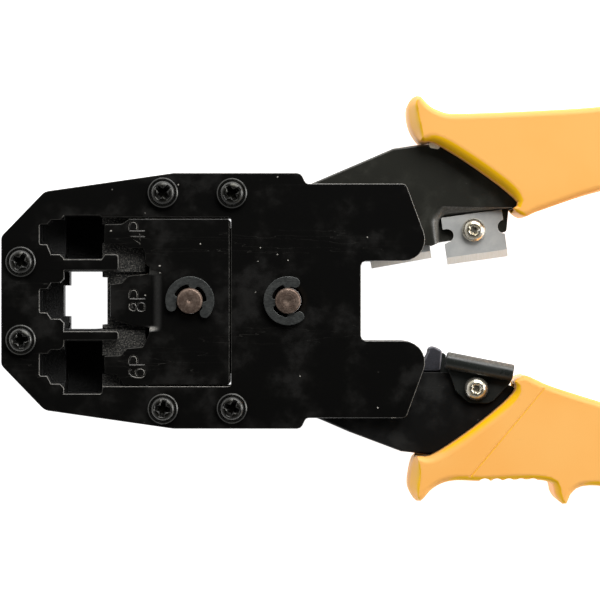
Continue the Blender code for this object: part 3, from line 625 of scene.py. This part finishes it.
def phillips_recess(centre, top, size, turn, depth):
    """A cutter for a cross-shaped drive recess that narrows towards its bottom."""
    shape = bmesh.new()
    rings = []
    mouth = (0.5, 1.05 * size, 0.50, 0.62)
    floor = (-depth, 0.5 * size, 0.28, 0.36)
    for height, reach, wide, corner in (mouth, floor):
        ring = []
        for quarter in range(4):
            angle = turn + quarter * math.pi / 2
            for along, across in ((corner, -corner), (reach, -wide), (reach, wide)):
                ring.append(shape.verts.new((
                    centre[0] + along * math.cos(angle) - across * math.sin(angle),
                    centre[1] + along * math.sin(angle) + across * math.cos(angle),
                    top + height)))
        rings.append(ring)
    skin(shape, rings)
    return shape


def build_head_screw(number):
    """A pan head with an outer ring, a dark groove and a domed middle with a cross recess."""
    name = f"head_screw_{number}"
    centre, tail, top = extent(name)
    seat = PLATE_TOP + 0.3
    ring = 3.05
    profile = [
        (0.0, top), (0.8, top - 0.02), (1.4, top - 0.10), (1.95, top - 0.28), (2.25, top - 0.52),
        (2.38, top - 0.80), (2.50, top - 0.80), (2.60, top - 0.66), (2.80, top - 0.66),
        (ring - 0.04, top - 0.80), (ring, top - 0.95), (ring, seat), (1.5, seat), (1.5, tail),
        (0.0, tail),
    ]
    shape = turned(profile, centre, 48)
    turn = math.radians(24 + 37 * number)
    mesh = from_bmesh(name, shape)
    recess = from_bmesh("recess", phillips_recess(centre, top, 1.9, turn, 1.4))
    new_piece(name, boolean(mesh, [recess]), "head", OXIDE, [name])


def build_pin(name, body, scored):
    """A pin with clip grooves, a centre mark in its face and a softly turned edge."""
    low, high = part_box(name)
    centre = ((low + high) / 2 - PIVOT) / MM
    top = (high.z - PIVOT.z) / MM
    bottom = (low.z - PIVOT.z) / MM
    radius = (high.x - low.x) / 2 / MM
    groove = 2.05
    near, far = PLATE_TOP + 0.15, PLATE_TOP + 1.4
    face = [(0.0, top - 0.45), (0.35, top - 0.30), (0.62, top - 0.03), (1.0, top)]
    if scored:
        face = [(0.0, top - 0.12), (0.5, top - 0.10), (0.9, top), (1.3, top), (1.36, top - 0.05),
                (1.42, top)]
    edge = [(radius - 0.5, top), (radius - 0.32, top - 0.05), (radius - 0.05, top - 0.32),
            (radius, top - 0.5)]
    profile = face + edge + [(radius, far), (groove, far), (groove, near), (radius, near),
                             (radius, -near), (groove, -near), (groove, -far), (radius, -far),
                             (radius, bottom + 0.5), (radius - 0.5, bottom), (0.0, bottom)]
    mesh = from_bmesh(name, turned(profile, centre, 56))
    new_piece(name, mesh, body, PIN_STEEL, [name])


def build_shade_ring(name, body, centre):
    """A thin near-black ring that fills the gap round a pin, between its plate and the lever: painted
    shade in the gap, with grease.
    """
    profile = [(2.62, 5.15), (4.3, 5.15), (4.3, 4.86), (2.62, 4.86)]
    mesh = from_bmesh(name, turned(profile, centre, 48))
    new_piece(name, mesh, body, SHADE_AND_GREASE)


def build_clip(name, body, centre, facing):
    """A spring clip with round ends, two hollows and a middle lug on the pin."""
    bottom, top = extent(name)[1:]
    outer, end_radius, end_turn = 4.88, 1.03, 62
    outline = arc(centre, outer, facing + end_turn, facing + 360 - end_turn, 60)[1:-1]
    half = [(72, 2.85), (76, 2.5), (80, 2.36), (92, 2.36), (96, 2.6), (99, 3.15), (102, 3.3)]
    half += [(angle, 3.3) for angle in range(108, 162, 6)]
    half += [(164, 3.15), (167, 2.6), (170, 2.36)]
    inner = half + [(180, 2.36)] + [(360 - angle, radius) for angle, radius in half[::-1]]

    def round_end(turn, start):
        """The round end of one arm, at an angle from the open side."""
        angle = math.radians(facing + turn)
        reach = outer - end_radius
        middle = (centre[0] + reach * math.cos(angle), centre[1] + reach * math.sin(angle))
        return arc(middle, end_radius, start, start + 180, 12)

    outline += round_end(-end_turn, facing - end_turn)
    for angle, radius in inner[::-1]:
        turn = math.radians(facing + angle)
        outline.append((centre[0] + radius * math.cos(turn), centre[1] + radius * math.sin(turn)))
    outline += round_end(end_turn, facing + end_turn + 180)
    shape = prism(outline, bottom, top)
    round_edges(shape, 0.13, is_level)
    new_piece(name, from_bmesh(name, shape), body, CLIP_STEEL, [name])


# ---------------------------------------------------------------- ram

def glyph(strokes, x, y):
    """Groove cutters for one raised-up character, its top towards the plug sockets."""
    cutters = []
    for stroke in strokes:
        line = [(x - up, y + across, PLATE_TOP + 0.06) for across, up in stroke]
        cutter = from_bmesh("stroke", tube(line, 0.23, 8))
        cutter.materials.append(LABEL)
        cutters.append(cutter)
    return cutters


def label_cutters():
    """The socket sizes beside each finger, written along Y."""
    letter_p = [[(0, 0), (0, 3.1)],
                [(0, 3.1), (1.0, 3.1), (1.6, 2.8), (1.75, 2.3), (1.6, 1.8), (1.0, 1.5), (0, 1.5)]]
    four = [[(1.45, 0), (1.45, 3.1), (0, 0.95), (1.95, 0.95)]]
    eight = [[(0.9, 1.65), (0.3, 1.95), (0.2, 2.5), (0.5, 3.0), (0.95, 3.12), (1.4, 3.0),
              (1.7, 2.5), (1.6, 1.95), (0.9, 1.65), (0.2, 1.3), (0.05, 0.75), (0.3, 0.15),
              (0.95, 0), (1.6, 0.15), (1.85, 0.75), (1.7, 1.3), (0.9, 1.65)]]
    six = [[(1.7, 2.7), (1.3, 3.1), (0.8, 3.05), (0.3, 2.5), (0.05, 1.6), (0.05, 0.8), (0.3, 0.2),
            (0.9, 0), (1.5, 0.15), (1.8, 0.7), (1.75, 1.35), (1.35, 1.8), (0.8, 1.8), (0.1, 1.3)]]
    cutters = []
    for digit, low in ((four, 11.5), (eight, -2.1), (six, -15.3)):
        cutters += glyph(digit, -9.0, low) + glyph(letter_p, -9.0, low + 2.6)
    return cutters


def build_ram():
    pressed("ram_cover_back", "ram", PAINT)
    finish_node("punch_4p", DIE, 0.12)
    finish_node("punch_6p", DIE, 0.12)
    build_contact_punch()
    outline = rounded([
        (7.9, -16.8, 0.4), (7.9, 16.4, 0.4), (-12.1, 16.4, 0.5), (-13.6, 15.4, 0.8), (-17.1, 15.3, 0.3),
        (-17.2, 11.5, 0.3), (-13.9, 11.3, 0.8), (-12.4, 10.6, 0.8), (-9.3, 10.6, 0.5),
        (-8.9, 9.0, 0.8), (-9.2, 7.6), (-8.1, 6.7), (-8.2, 5.7), (-8.4, 5.4), (-12.4, 5.0, 0.6),
        (-13.7, 3.6, 0.6), (-16.0, 3.3, 0.3), (-16.0, -3.3, 0.3), (-13.9, -4.2), (-11.4, -5.0),
        (-8.2, -5.4), (-8.2, -6.6), (-9.4, -9.2, 0.6), (-12.6, -9.5, 0.4), (-13.9, -10.9, 0.6),
        (-17.2, -11.0, 0.3), (-17.1, -14.6, 0.3), (-14.6, -14.8, 0.5), (-13.2, -16.8, 0.5),
    ])
    shape = prism(outline, PLATE_TOP - 2.0, PLATE_TOP)
    round_edges(shape, 0.26, is_level)
    mesh = from_bmesh("ram_cover_front", shape)
    mesh.materials.append(PAINT)
    hole = from_bmesh("hole", turned([(0.0, 9.0), (2.9, 9.0), (2.9, 3.0), (0.0, 3.0)], (0.0, 0.0), 48))
    hole.materials.append(PAINT)
    cover = boolean(mesh, [hole, *label_cutters()], crossing=True)
    bend_finger(cover)
    piece = new_piece("ram_cover_front", cover, "ram", PAINT, ["ram_cover_front"])
    piece.data.materials.append(LABEL)


def cut_lines(shape, normal, distances):
    """Add edges to a shape where parallel planes cross it."""
    for distance in distances:
        geometry = [*shape.verts, *shape.edges, *shape.faces]
        bmesh.ops.bisect_plane(shape, geom=geometry, plane_co=Vector(normal) * distance,
                               plane_no=normal, dist=1e-5)


def build_contact_punch():
    """The 8P punch, close in its channel, with one driving blade for each contact."""
    half, bottom, top = 4.70, -4.88, 4.08
    shape = prism([(-16.7, -half), (-6.2, -half), (-6.2, half), (-16.7, half)], bottom, top)
    round_edges(shape, 0.12, is_level)
    mesh = from_bmesh("punch_8p", shape)
    grooves = []
    for number in range(7):
        y = 1.02 * (number - 3)
        groove = prism([(-17.0, y - 0.34), (-16.4, y - 0.34), (-16.4, y + 0.34),
                        (-17.0, y + 0.34)], bottom - 0.3, 2.6)
        grooves.append(from_bmesh("groove", groove))
    mesh = boolean(mesh, grooves)
    new_piece("punch_8p", mesh, "ram", DIE, ["punch_8p"])


def bend_finger(mesh):
    """Set the middle finger back behind the plates by a smooth joggle that dents the cover."""
    start, end, drop = -5.1, -7.9, 0.8
    full, faded = 4.9, 6.3
    shape = bmesh.new()
    shape.from_mesh(mesh)
    bmesh.ops.transform(shape, matrix=TO_DRAWING, verts=shape.verts)
    cut_lines(shape, (1.0, 0.0, 0.0), [start + (end - start) * step / 14 for step in range(15)])
    cut_lines(shape, (0.0, 1.0, 0.0), [side * (full + (faded - full) * step / 5)
                                       for step in range(6) for side in (-1, 1)])
    for vert in shape.verts:
        t = min(1.0, max(0.0, (vert.co.x - start) / (end - start)))
        u = min(1.0, max(0.0, (faded - abs(vert.co.y)) / (faded - full)))
        vert.co.z -= drop * t * t * (3 - 2 * t) * u * u * (3 - 2 * u)
    bmesh.ops.transform(shape, matrix=TO_WORLD, verts=shape.verts)
    shape.to_mesh(mesh)
    shape.free()
    mesh.shade_smooth()
    mesh.set_sharp_from_angle(angle=SMOOTH_ANGLE)


def build_spring():
    """The torsion spring in two halves: each leg and its half of the coil follow one lever."""
    coil_radius, wire, pitch = 3.7, 0.6, 1.3
    lower_end, upper_end = (22.4, -19.6), (22.4, 20.1)
    start_angle, sweep = -124.0, -472.0
    half_height = -pitch * sweep / 360 / 2
    steps = 52

    def coil(first, last):
        line = []
        for step in range(first, last + 1):
            angle = math.radians(start_angle + sweep * step / steps)
            line.append((coil_radius * math.cos(angle), coil_radius * math.sin(angle),
                         -half_height + 2 * half_height * step / steps))
        return line

    lower_leg = [(*lower_end, -half_height)]
    upper_leg = [(*upper_end, half_height)]
    middle = steps // 2
    lower = from_bmesh("spring_lower", tube(lower_leg + coil(0, middle), wire))
    upper = from_bmesh("spring_upper", tube(coil(middle, steps) + upper_leg, wire))
    new_piece("return_spring_lower", lower, "lower_handle", OXIDE, ["return_spring"])
    new_piece("return_spring_upper", upper, "upper_handle", OXIDE, ["return_spring"])


# ---------------------------------------------------------------- levers

def build_levers():
    """Pressed channels: wide folds along the web, a soft joggle at the blade seat."""
    for name, half, side in (("upper_lever", UPPER_HALF, 1), ("lower_lever", LOWER_HALF, -1)):
        shape = cad_shape(name)

        def at_fold(edge, middle):
            level = all(abs(abs(vert.co.z) - half) < 0.01 for vert in edge.verts)
            return level and side * middle.y > 0.45 * middle.x + 7.0 and middle.x > 3.0

        def at_joggle(edge, middle):
            level = all(abs(vert.co.z - half) < 0.01 for vert in edge.verts)
            return level and 49.5 < middle.x < 64.2 and 12.3 < middle.y < 19.2

        def still_square(edge, middle):
            return edge.calc_face_angle(0.0) > math.radians(60)

        if side > 0:
            round_edges(shape, 2.3, at_joggle, 8)
        round_edges(shape, 0.5, at_fold, 4)
        round_edges(shape, 0.12, still_square)
        body = "upper_handle" if side > 0 else "lower_handle"
        paint = UPPER_PAINT if side > 0 else LOWER_PAINT
        new_piece(name, from_bmesh(name, shape), body, paint, [name])


# ---------------------------------------------------------------- blades, guard and seat

def build_small_screw(name, body):
    """A bright pan-head screw with a cross recess, pointing the way its CAD node does."""
    centre, tail, top = extent(name)
    profile = [(0.0, top), (0.7, top - 0.02), (1.3, top - 0.12), (1.8, top - 0.36),
               (2.15, top - 0.7), (2.35, top - 1.1), (2.38, top - 1.6), (1.3, top - 1.6),
               (1.3, tail), (0.0, tail)]
    mesh = from_bmesh(name, turned(profile, centre, 40))
    recess = from_bmesh("recess", phillips_recess(centre, top, 1.3, math.radians(31), 0.7))
    new_piece(name, boolean(mesh, [recess]), body, NICKEL, [name])


def build_tooling():
    finish_node("cutter_blade", CUTTER_STEEL, 0.06)
    finish_node("stripper_blade", STRIPPER_STEEL, 0.06)
    finish_node("stripper_blade_screw", NICKEL, 0.1)
    finish_node("cable_seat", PLASTIC, 0.5)
    build_small_screw("cutter_blade_screw", "upper_handle")
    build_small_screw("cutter_guard_screw", "lower_handle")
    build_guard()
    wall = prism([(50.2, -15.5), (52.5, -15.5), (52.5, -13.1), (51.4, -12.6), (51.4, -10.9),
                  (50.9, -10.5), (50.2, -10.5)], -1.9, 2.2)
    round_edges(wall, 0.15, is_level)
    new_piece("guard_wall", from_bmesh("guard_wall", wall), "lower_handle", GUARD_PAINT)
    # a dark plastic filler closing the gap under the seat, so the gap shows as painted shade instead of
    # the floor
    foot = prism([(36.9, -14.8), (50.2, -14.8), (50.2, -13.9), (36.9, -13.9)], -1.9, 1.9)
    new_piece("seat_foot", from_bmesh("seat_foot", foot), "lower_handle", PLASTIC)
    # a small pale cream piece where the upper grip meets its lever: a painted highlight where that edge
    # catches the light
    nib = prism(rounded([(48.0, 30.7, 0.5), (50.1, 30.3, 0.5), (50.0, 31.8, 0.6),
                         (47.8, 32.0, 0.6)]), 4.9, 6.6)
    round_edges(nib, 0.25, is_level)
    new_piece("grip_edge_highlight", from_bmesh("grip_edge_highlight", nib), "upper_handle", NIB_HIGHLIGHT)


def build_guard():
    """A pressed flange that curls up into a rolled bar along the cutting edge."""
    start, end = Vector((51.2, -11.85, 5.45)), Vector((64.75, -14.5, 5.45))
    radius = 1.72
    flange = prism(rounded([
        (51.5, -12.0), (51.9, -14.2), (53.3, -18.2, 1.5), (56.0, -20.6, 2.4), (60.4, -20.6, 2.8),
        (64.2, -16.6, 1.0), (64.6, -14.6),
    ]), 3.55, 4.4)
    round_edges(flange, 0.2, is_level)
    along = (end - start).normalized()
    length = (end - start).length
    bar = turned([(0.0, length), (radius - 0.4, length), (radius - 0.12, length - 0.12),
                  (radius, length - 0.4), (radius, 0.4), (radius - 0.12, 0.12), (radius - 0.4, 0.0),
                  (0.0, 0.0)], (0.0, 0.0), 48)
    laid = along.to_track_quat("Z", "Y").to_matrix().to_4x4()
    bmesh.ops.transform(bar, matrix=Matrix.Translation(start) @ laid, verts=bar.verts)
    guard = boolean(from_bmesh("cutter_guard", flange), [from_bmesh("bar", bar)], "UNION")
    new_piece("cutter_guard", guard, "lower_handle", GUARD_PAINT, ["cutter_guard"])


# ---------------------------------------------------------------- grips

def rounded(corners):
    """The closed outline through corners (x, y) or (x, y, radius), with each radius as an arc."""
    outline = []
    for index, corner in enumerate(corners):
        point = Vector(corner[:2])
        if len(corner) < 3:
            outline.append(tuple(point))
            continue
        before = (Vector(corners[index - 1][:2]) - point).normalized()
        after = (Vector(corners[(index + 1) % len(corners)][:2]) - point).normalized()
        half = before.angle(after) / 2
        centre = point + (before + after).normalized() * corner[2] / math.sin(half)
        start = point + before * corner[2] / math.tan(half) - centre
        end = point + after * corner[2] / math.tan(half) - centre
        first = math.atan2(start.y, start.x)
        turn = (math.atan2(end.y, end.x) - first + math.pi) % (2 * math.pi) - math.pi
        steps = max(3, math.ceil(3.0 * corner[2]))
        for step in range(steps + 1):
            angle = first + turn * step / steps
            outline.append((centre.x + corner[2] * math.cos(angle),
                            centre.y + corner[2] * math.sin(angle)))
    return outline


def mirrored(points):
    return [(point[0], -point[1], *point[2:]) for point in points]


def even_loop(points, spacing):
    """A closed smooth loop through points, with even spacing along it."""
    count = len(points)
    line = []
    for index in range(count):
        p0, p1, p2, p3 = (Vector(points[(index + shift) % count][:2]) for shift in (-1, 0, 1, 2))
        # centripetal spacing keeps the curve tight where short and long sides meet
        t1 = (p1 - p0).length ** 0.5
        t2 = t1 + (p2 - p1).length ** 0.5
        t3 = t2 + (p3 - p2).length ** 0.5
        for step in range(16):
            t = t1 + (t2 - t1) * step / 16
            a1 = p0 * ((t1 - t) / t1) + p1 * (t / t1)
            a2 = p1 * ((t2 - t) / (t2 - t1)) + p2 * ((t - t1) / (t2 - t1))
            a3 = p2 * ((t3 - t) / (t3 - t2)) + p3 * ((t - t2) / (t3 - t2))
            b1 = a1 * ((t2 - t) / t2) + a2 * (t / t2)
            b2 = a2 * ((t3 - t) / (t3 - t1)) + a3 * ((t - t1) / (t3 - t1))
            line.append(b1 * ((t2 - t) / (t2 - t1)) + b2 * ((t - t1) / (t2 - t1)))
    lengths = [0.0]
    for first, second in zip(line, line[1:] + line[:1]):
        lengths.append(lengths[-1] + (second - first).length)
    total = lengths[-1]
    wanted = round(total / spacing)
    loop = []
    index = 0
    for step in range(wanted):
        target = total * step / wanted
        while lengths[index + 1] < target:
            index += 1
        part = (target - lengths[index]) / (lengths[index + 1] - lengths[index])
        loop.append(line[index].lerp(line[(index + 1) % len(line)], part))
    highest = max(point[1] for point in points)
    lowest = min(point[1] for point in points)
    for point in loop:
        point.y = min(highest, max(lowest, point.y))
    return loop


# A flare's outer side, from its wall to its face, as (inset, depth below the face)
FACET = [(0.0, 5.2), (0.5, 4.0), (1.0, 2.8), (1.45, 1.7), (1.85, 0.8), (2.15, 0.25), (2.6, 0.0)]


def moulded(outline, half, edge_radius, facet_share):
    """A moulded bar: round edges, tighter at sharp bends, and a wide facet on its flares."""
    count = len(outline)
    area = sum(a.x * b.y - b.x * a.y for a, b in zip(outline, outline[1:] + outline[:1]))
    side = 1.0 if area > 0 else -1.0
    inward, radii = [], []
    for index, point in enumerate(outline):
        before, after = outline[index - 1], outline[(index + 1) % count]
        along = (after - before).normalized()
        inward.append(Vector((-along.y, along.x)) * side)
        first, second = (point - before).normalized(), (after - point).normalized()
        bend = side * (first.x * second.y - first.y * second.x) / ((after - before).length / 2)
        limit = 0.8 / bend if bend > 1e-6 else 99.0
        radii.append(min(edge_radius(point) + 1.3 * facet_share(point), limit))
    for _ in range(10):
        radii = [min(radii[i], (radii[i - 1] + radii[i] + radii[(i + 1) % count]) / 3)
                 for i in range(count)]
    shape = bmesh.new()
    rings = []
    steps = len(FACET) - 1
    for way, order in ((1, range(steps, -1, -1)), (-1, range(steps + 1))):
        for step in order:
            angle = math.pi / 2 * step / steps
            ring = []
            for point, normal, radius in zip(outline, inward, radii):
                share = facet_share(point)
                scale = min(1.0, radius / FACET[-1][0])
                inset = (1 - share) * radius * (1 - math.cos(angle)) + share * scale * FACET[step][0]
                depth = (1 - share) * radius * (1 - math.sin(angle)) + share * scale * FACET[step][1]
                place_at = point + normal * inset
                ring.append(shape.verts.new((place_at.x, place_at.y, way * (half - depth))))
            rings.append(ring)
    skin(shape, rings)
    return shape


def pocket(edge_high, side):
    """The opening that a lever's tail fills, with a little room all round."""
    room = 0.3
    points = [
        (40.0, edge_high), (52.1, edge_high), (60.0, 29.85),
        *opened([(66.0, 18.7 + room), (150.4, 18.7 + room), (150.4, 10.2 - room),
                 (76.2, 10.2 - room), (71.0, 7.7)]),
    ]
    if side > 0:
        return points + [(66.2, 18.5), (64.2, 17.8), (58.0, 16.9), (40.0, 24.0)]
    return mirrored(points + [(66.4, 17.1), (64.2, 16.6), (58.0, 15.9), (40.0, 24.0)])


def build_grips():
    """Moulded grips: a flare at the front of each, and a finger hook on the lower one."""
    middle, radius = 15.3, 6.9
    centre = (TAIL_END - radius + middle * math.sin(CLOSING_ANGLE)) / math.cos(CLOSING_ANGLE)
    tail = arc((centre, middle), radius, -85, 85, 12)
    inner = [(105.0, 7.9), (130.0, 8.2)]
    upper_outline = [
        (64.6, 18.5), (66.7, 16.8), (68.8, 17.6), (71.6, 18.6), (82.0, 22.0),
        *opened(inner + tail + [(130.0, 22.6), (105.0, 23.2)]),
        (82.0, 38.8), (70.1, 38.0), (52.7, 37.4), (51.2, 37.5), (49.7, 38.0), (48.1, 38.8),
        (46.8, 40.0), (46.2, 40.8), (45.3, 41.0), (44.3, 40.5), (43.5, 39.1), (43.4, 37.8),
        (43.8, 35.2), (44.8, 33.2), (46.3, 31.7), (48.3, 31.7), (65.6, 19.3),
    ]
    lower_outline = mirrored([
        (64.8, 16.1), (66.8, 14.9), (68.9, 15.6), (71.0, 16.6), (82.0, 20.2),
        *opened(inner + tail + [(130.0, 22.6), (105.0, 22.8)]),
        (82.0, 37.0), (78.7, 37.0), (77.2, 37.5), (75.9, 38.8), (75.3, 40.3), (74.8, 40.7),
        (73.9, 40.2), (72.9, 38.8), (72.1, 36.4), (57.6, 36.0), (52.7, 35.9), (50.2, 36.5),
        (48.1, 37.8), (46.7, 39.4), (45.8, 40.1), (44.8, 39.6), (43.8, 37.8), (43.7, 35.7),
        (45.1, 31.2), (47.9, 31.0), (65.2, 17.5),
    ])

    def edge_radius(point):
        """Wider rounding where each grip meets its lever."""
        if not 46.0 < point.x < 66.0 or abs(point.y) > 33.0:
            return 1.35
        return 2.4 if point.y > 0.0 else 2.0

    def facet_share(point):
        """One on the outer side of each flare and of the finger hook, fading beyond it."""
        flare = (46.6 - point.x) / 1.6 if abs(point.y) > 31.5 else 0.0
        hook = (75.2 - point.x) / 1.0 if 71.5 < point.x and point.y < -36.4 else 0.0
        return min(1.0, max(0.0, flare, 0.5 * min(1.0, hook)))

    upper = moulded(even_loop(upper_outline, 0.9), GRIP_HALF, edge_radius, facet_share)
    hollow = prism(pocket(31.65, 1), -UPPER_HALF - 0.3, UPPER_HALF + 0.3)
    mesh = boolean(from_bmesh("upper_grip", upper), [from_bmesh("pocket", hollow)])
    new_piece("upper_grip", mesh, "upper_handle", GRIP, ["upper_grip"])

    lower = moulded(even_loop(lower_outline, 0.9), GRIP_HALF, edge_radius, facet_share)
    hollow = prism(pocket(31.2, -1), -LOWER_HALF - 0.3, LOWER_HALF + 0.3)
    tools = [from_bmesh("pocket", hollow)]
    for number in range(5):
        x = 58.9 + 2.4 * number
        scoop = turned([(0.0, 12.0), (1.4, 12.0), (1.4, -12.0), (0.0, -12.0)], (x, -36.85), 40)
        tools.append(from_bmesh("scoop", scoop))
    crease = tube([(72.0, -15.9, GRIP_HALF + 0.05), (55.0, -36.2, GRIP_HALF + 0.05)], 0.2, 8)
    tools.append(from_bmesh("crease", crease))
    mesh = boolean(from_bmesh("lower_grip", lower), tools)
    new_piece("lower_grip", mesh, "lower_handle", GRIP, ["lower_grip"])


# ---------------------------------------------------------------- camera, floor and lights

def build_studio():
    scene = bpy.context.scene
    scene.view_settings.view_transform = "Standard"
    camera_data = bpy.data.cameras.new("camera")
    camera_data.sensor_width = 36.0
    camera_data.lens = 204.0
    camera = bpy.data.objects.new("camera", camera_data)
    scene.collection.objects.link(camera)
    plate = PIVOT.z + PLATE_TOP * MM
    camera.location = (PIVOT.x + 0.0220, PIVOT.y + 0.00016, plate + 0.680)
    scene.camera = camera

    floor_mesh = bpy.data.meshes.new("floor")
    shape = bmesh.new()
    bmesh.ops.create_grid(shape, x_segments=1, y_segments=1, size=1.6)
    shape.to_mesh(floor_mesh)
    shape.free()
    floor = bpy.data.objects.new("floor", floor_mesh)
    floor.location.z = -0.0005
    scene.collection.objects.link(floor)
    paper, tree, shader = new_material("paper", (0.95, 0.95, 0.95), 0.9)
    mottle = noise(tree, place(tree), 0.02, 2.0)
    tree.links.new(mix(tree, mottle, (0.94, 0.94, 0.94), (0.96, 0.96, 0.96)),
                   shader.inputs["Base Color"])
    shader.inputs["Emission Color"].default_value = (1.0, 1.0, 1.0, 1.0)
    shader.inputs["Emission Strength"].default_value = 1.0
    floor_mesh.materials.append(paper)

    world = bpy.data.worlds.new("studio")
    world.use_nodes = True
    scene.world = world
    tree = world.node_tree
    background = tree.nodes["Background"]
    background.inputs["Color"].default_value = (1.0, 1.0, 1.0, 1.0)
    height = add(tree, "SeparateXYZ", Vector=add(tree, "TexCoord").outputs["Generated"])
    overhead = ramp(tree, height.outputs["Z"], 0.45, 0.88, 1.0, 0.0)
    sideways = ramp(tree, height.outputs["Y"], -0.9, 0.9, 0.45, 1.15)
    tree.links.new(maths(tree, "MULTIPLY", overhead, sideways), background.inputs["Strength"])

    def panel(name, place_at, aim, size, power):
        light = bpy.data.lights.new(name, "AREA")
        light.shape = "RECTANGLE"
        light.size, light.size_y = size
        light.energy = power
        lamp = bpy.data.objects.new(name, light)
        lamp.location = place_at
        lamp.rotation_mode = "QUATERNION"
        lamp.rotation_quaternion = (Vector(aim) - Vector(place_at)).to_track_quat("-Z", "Y")
        scene.collection.objects.link(lamp)

    panel("key", (0.25, 0.75, 0.75), (0.0, 0.0, 0.0), (0.9, 0.5), 11.0)
    panel("side", (0.9, 0.1, 0.45), (0.0, 0.0, 0.0), (0.5, 0.5), 4.0)


# ---------------------------------------------------------------- assembly

build_head()
build_pin("cam_pin", "head", True)
build_clip("cam_pin_clip_front", "head", (19.6, 0.0), 7)
build_clip("cam_pin_clip_back", "head", (19.6, 0.0), 7)
build_ram()
build_pin("ram_pin", "ram", False)
build_clip("ram_pin_clip_front", "ram", (0.0, 0.0), 259)
build_clip("ram_pin_clip_back", "ram", (0.0, 0.0), 259)
build_shade_ring("cam_pin_shade_ring", "head", (19.6, 0.0))
build_shade_ring("ram_pin_shade_ring", "ram", (0.0, 0.0))
build_spring()
build_levers()
build_tooling()
build_grips()
build_studio()
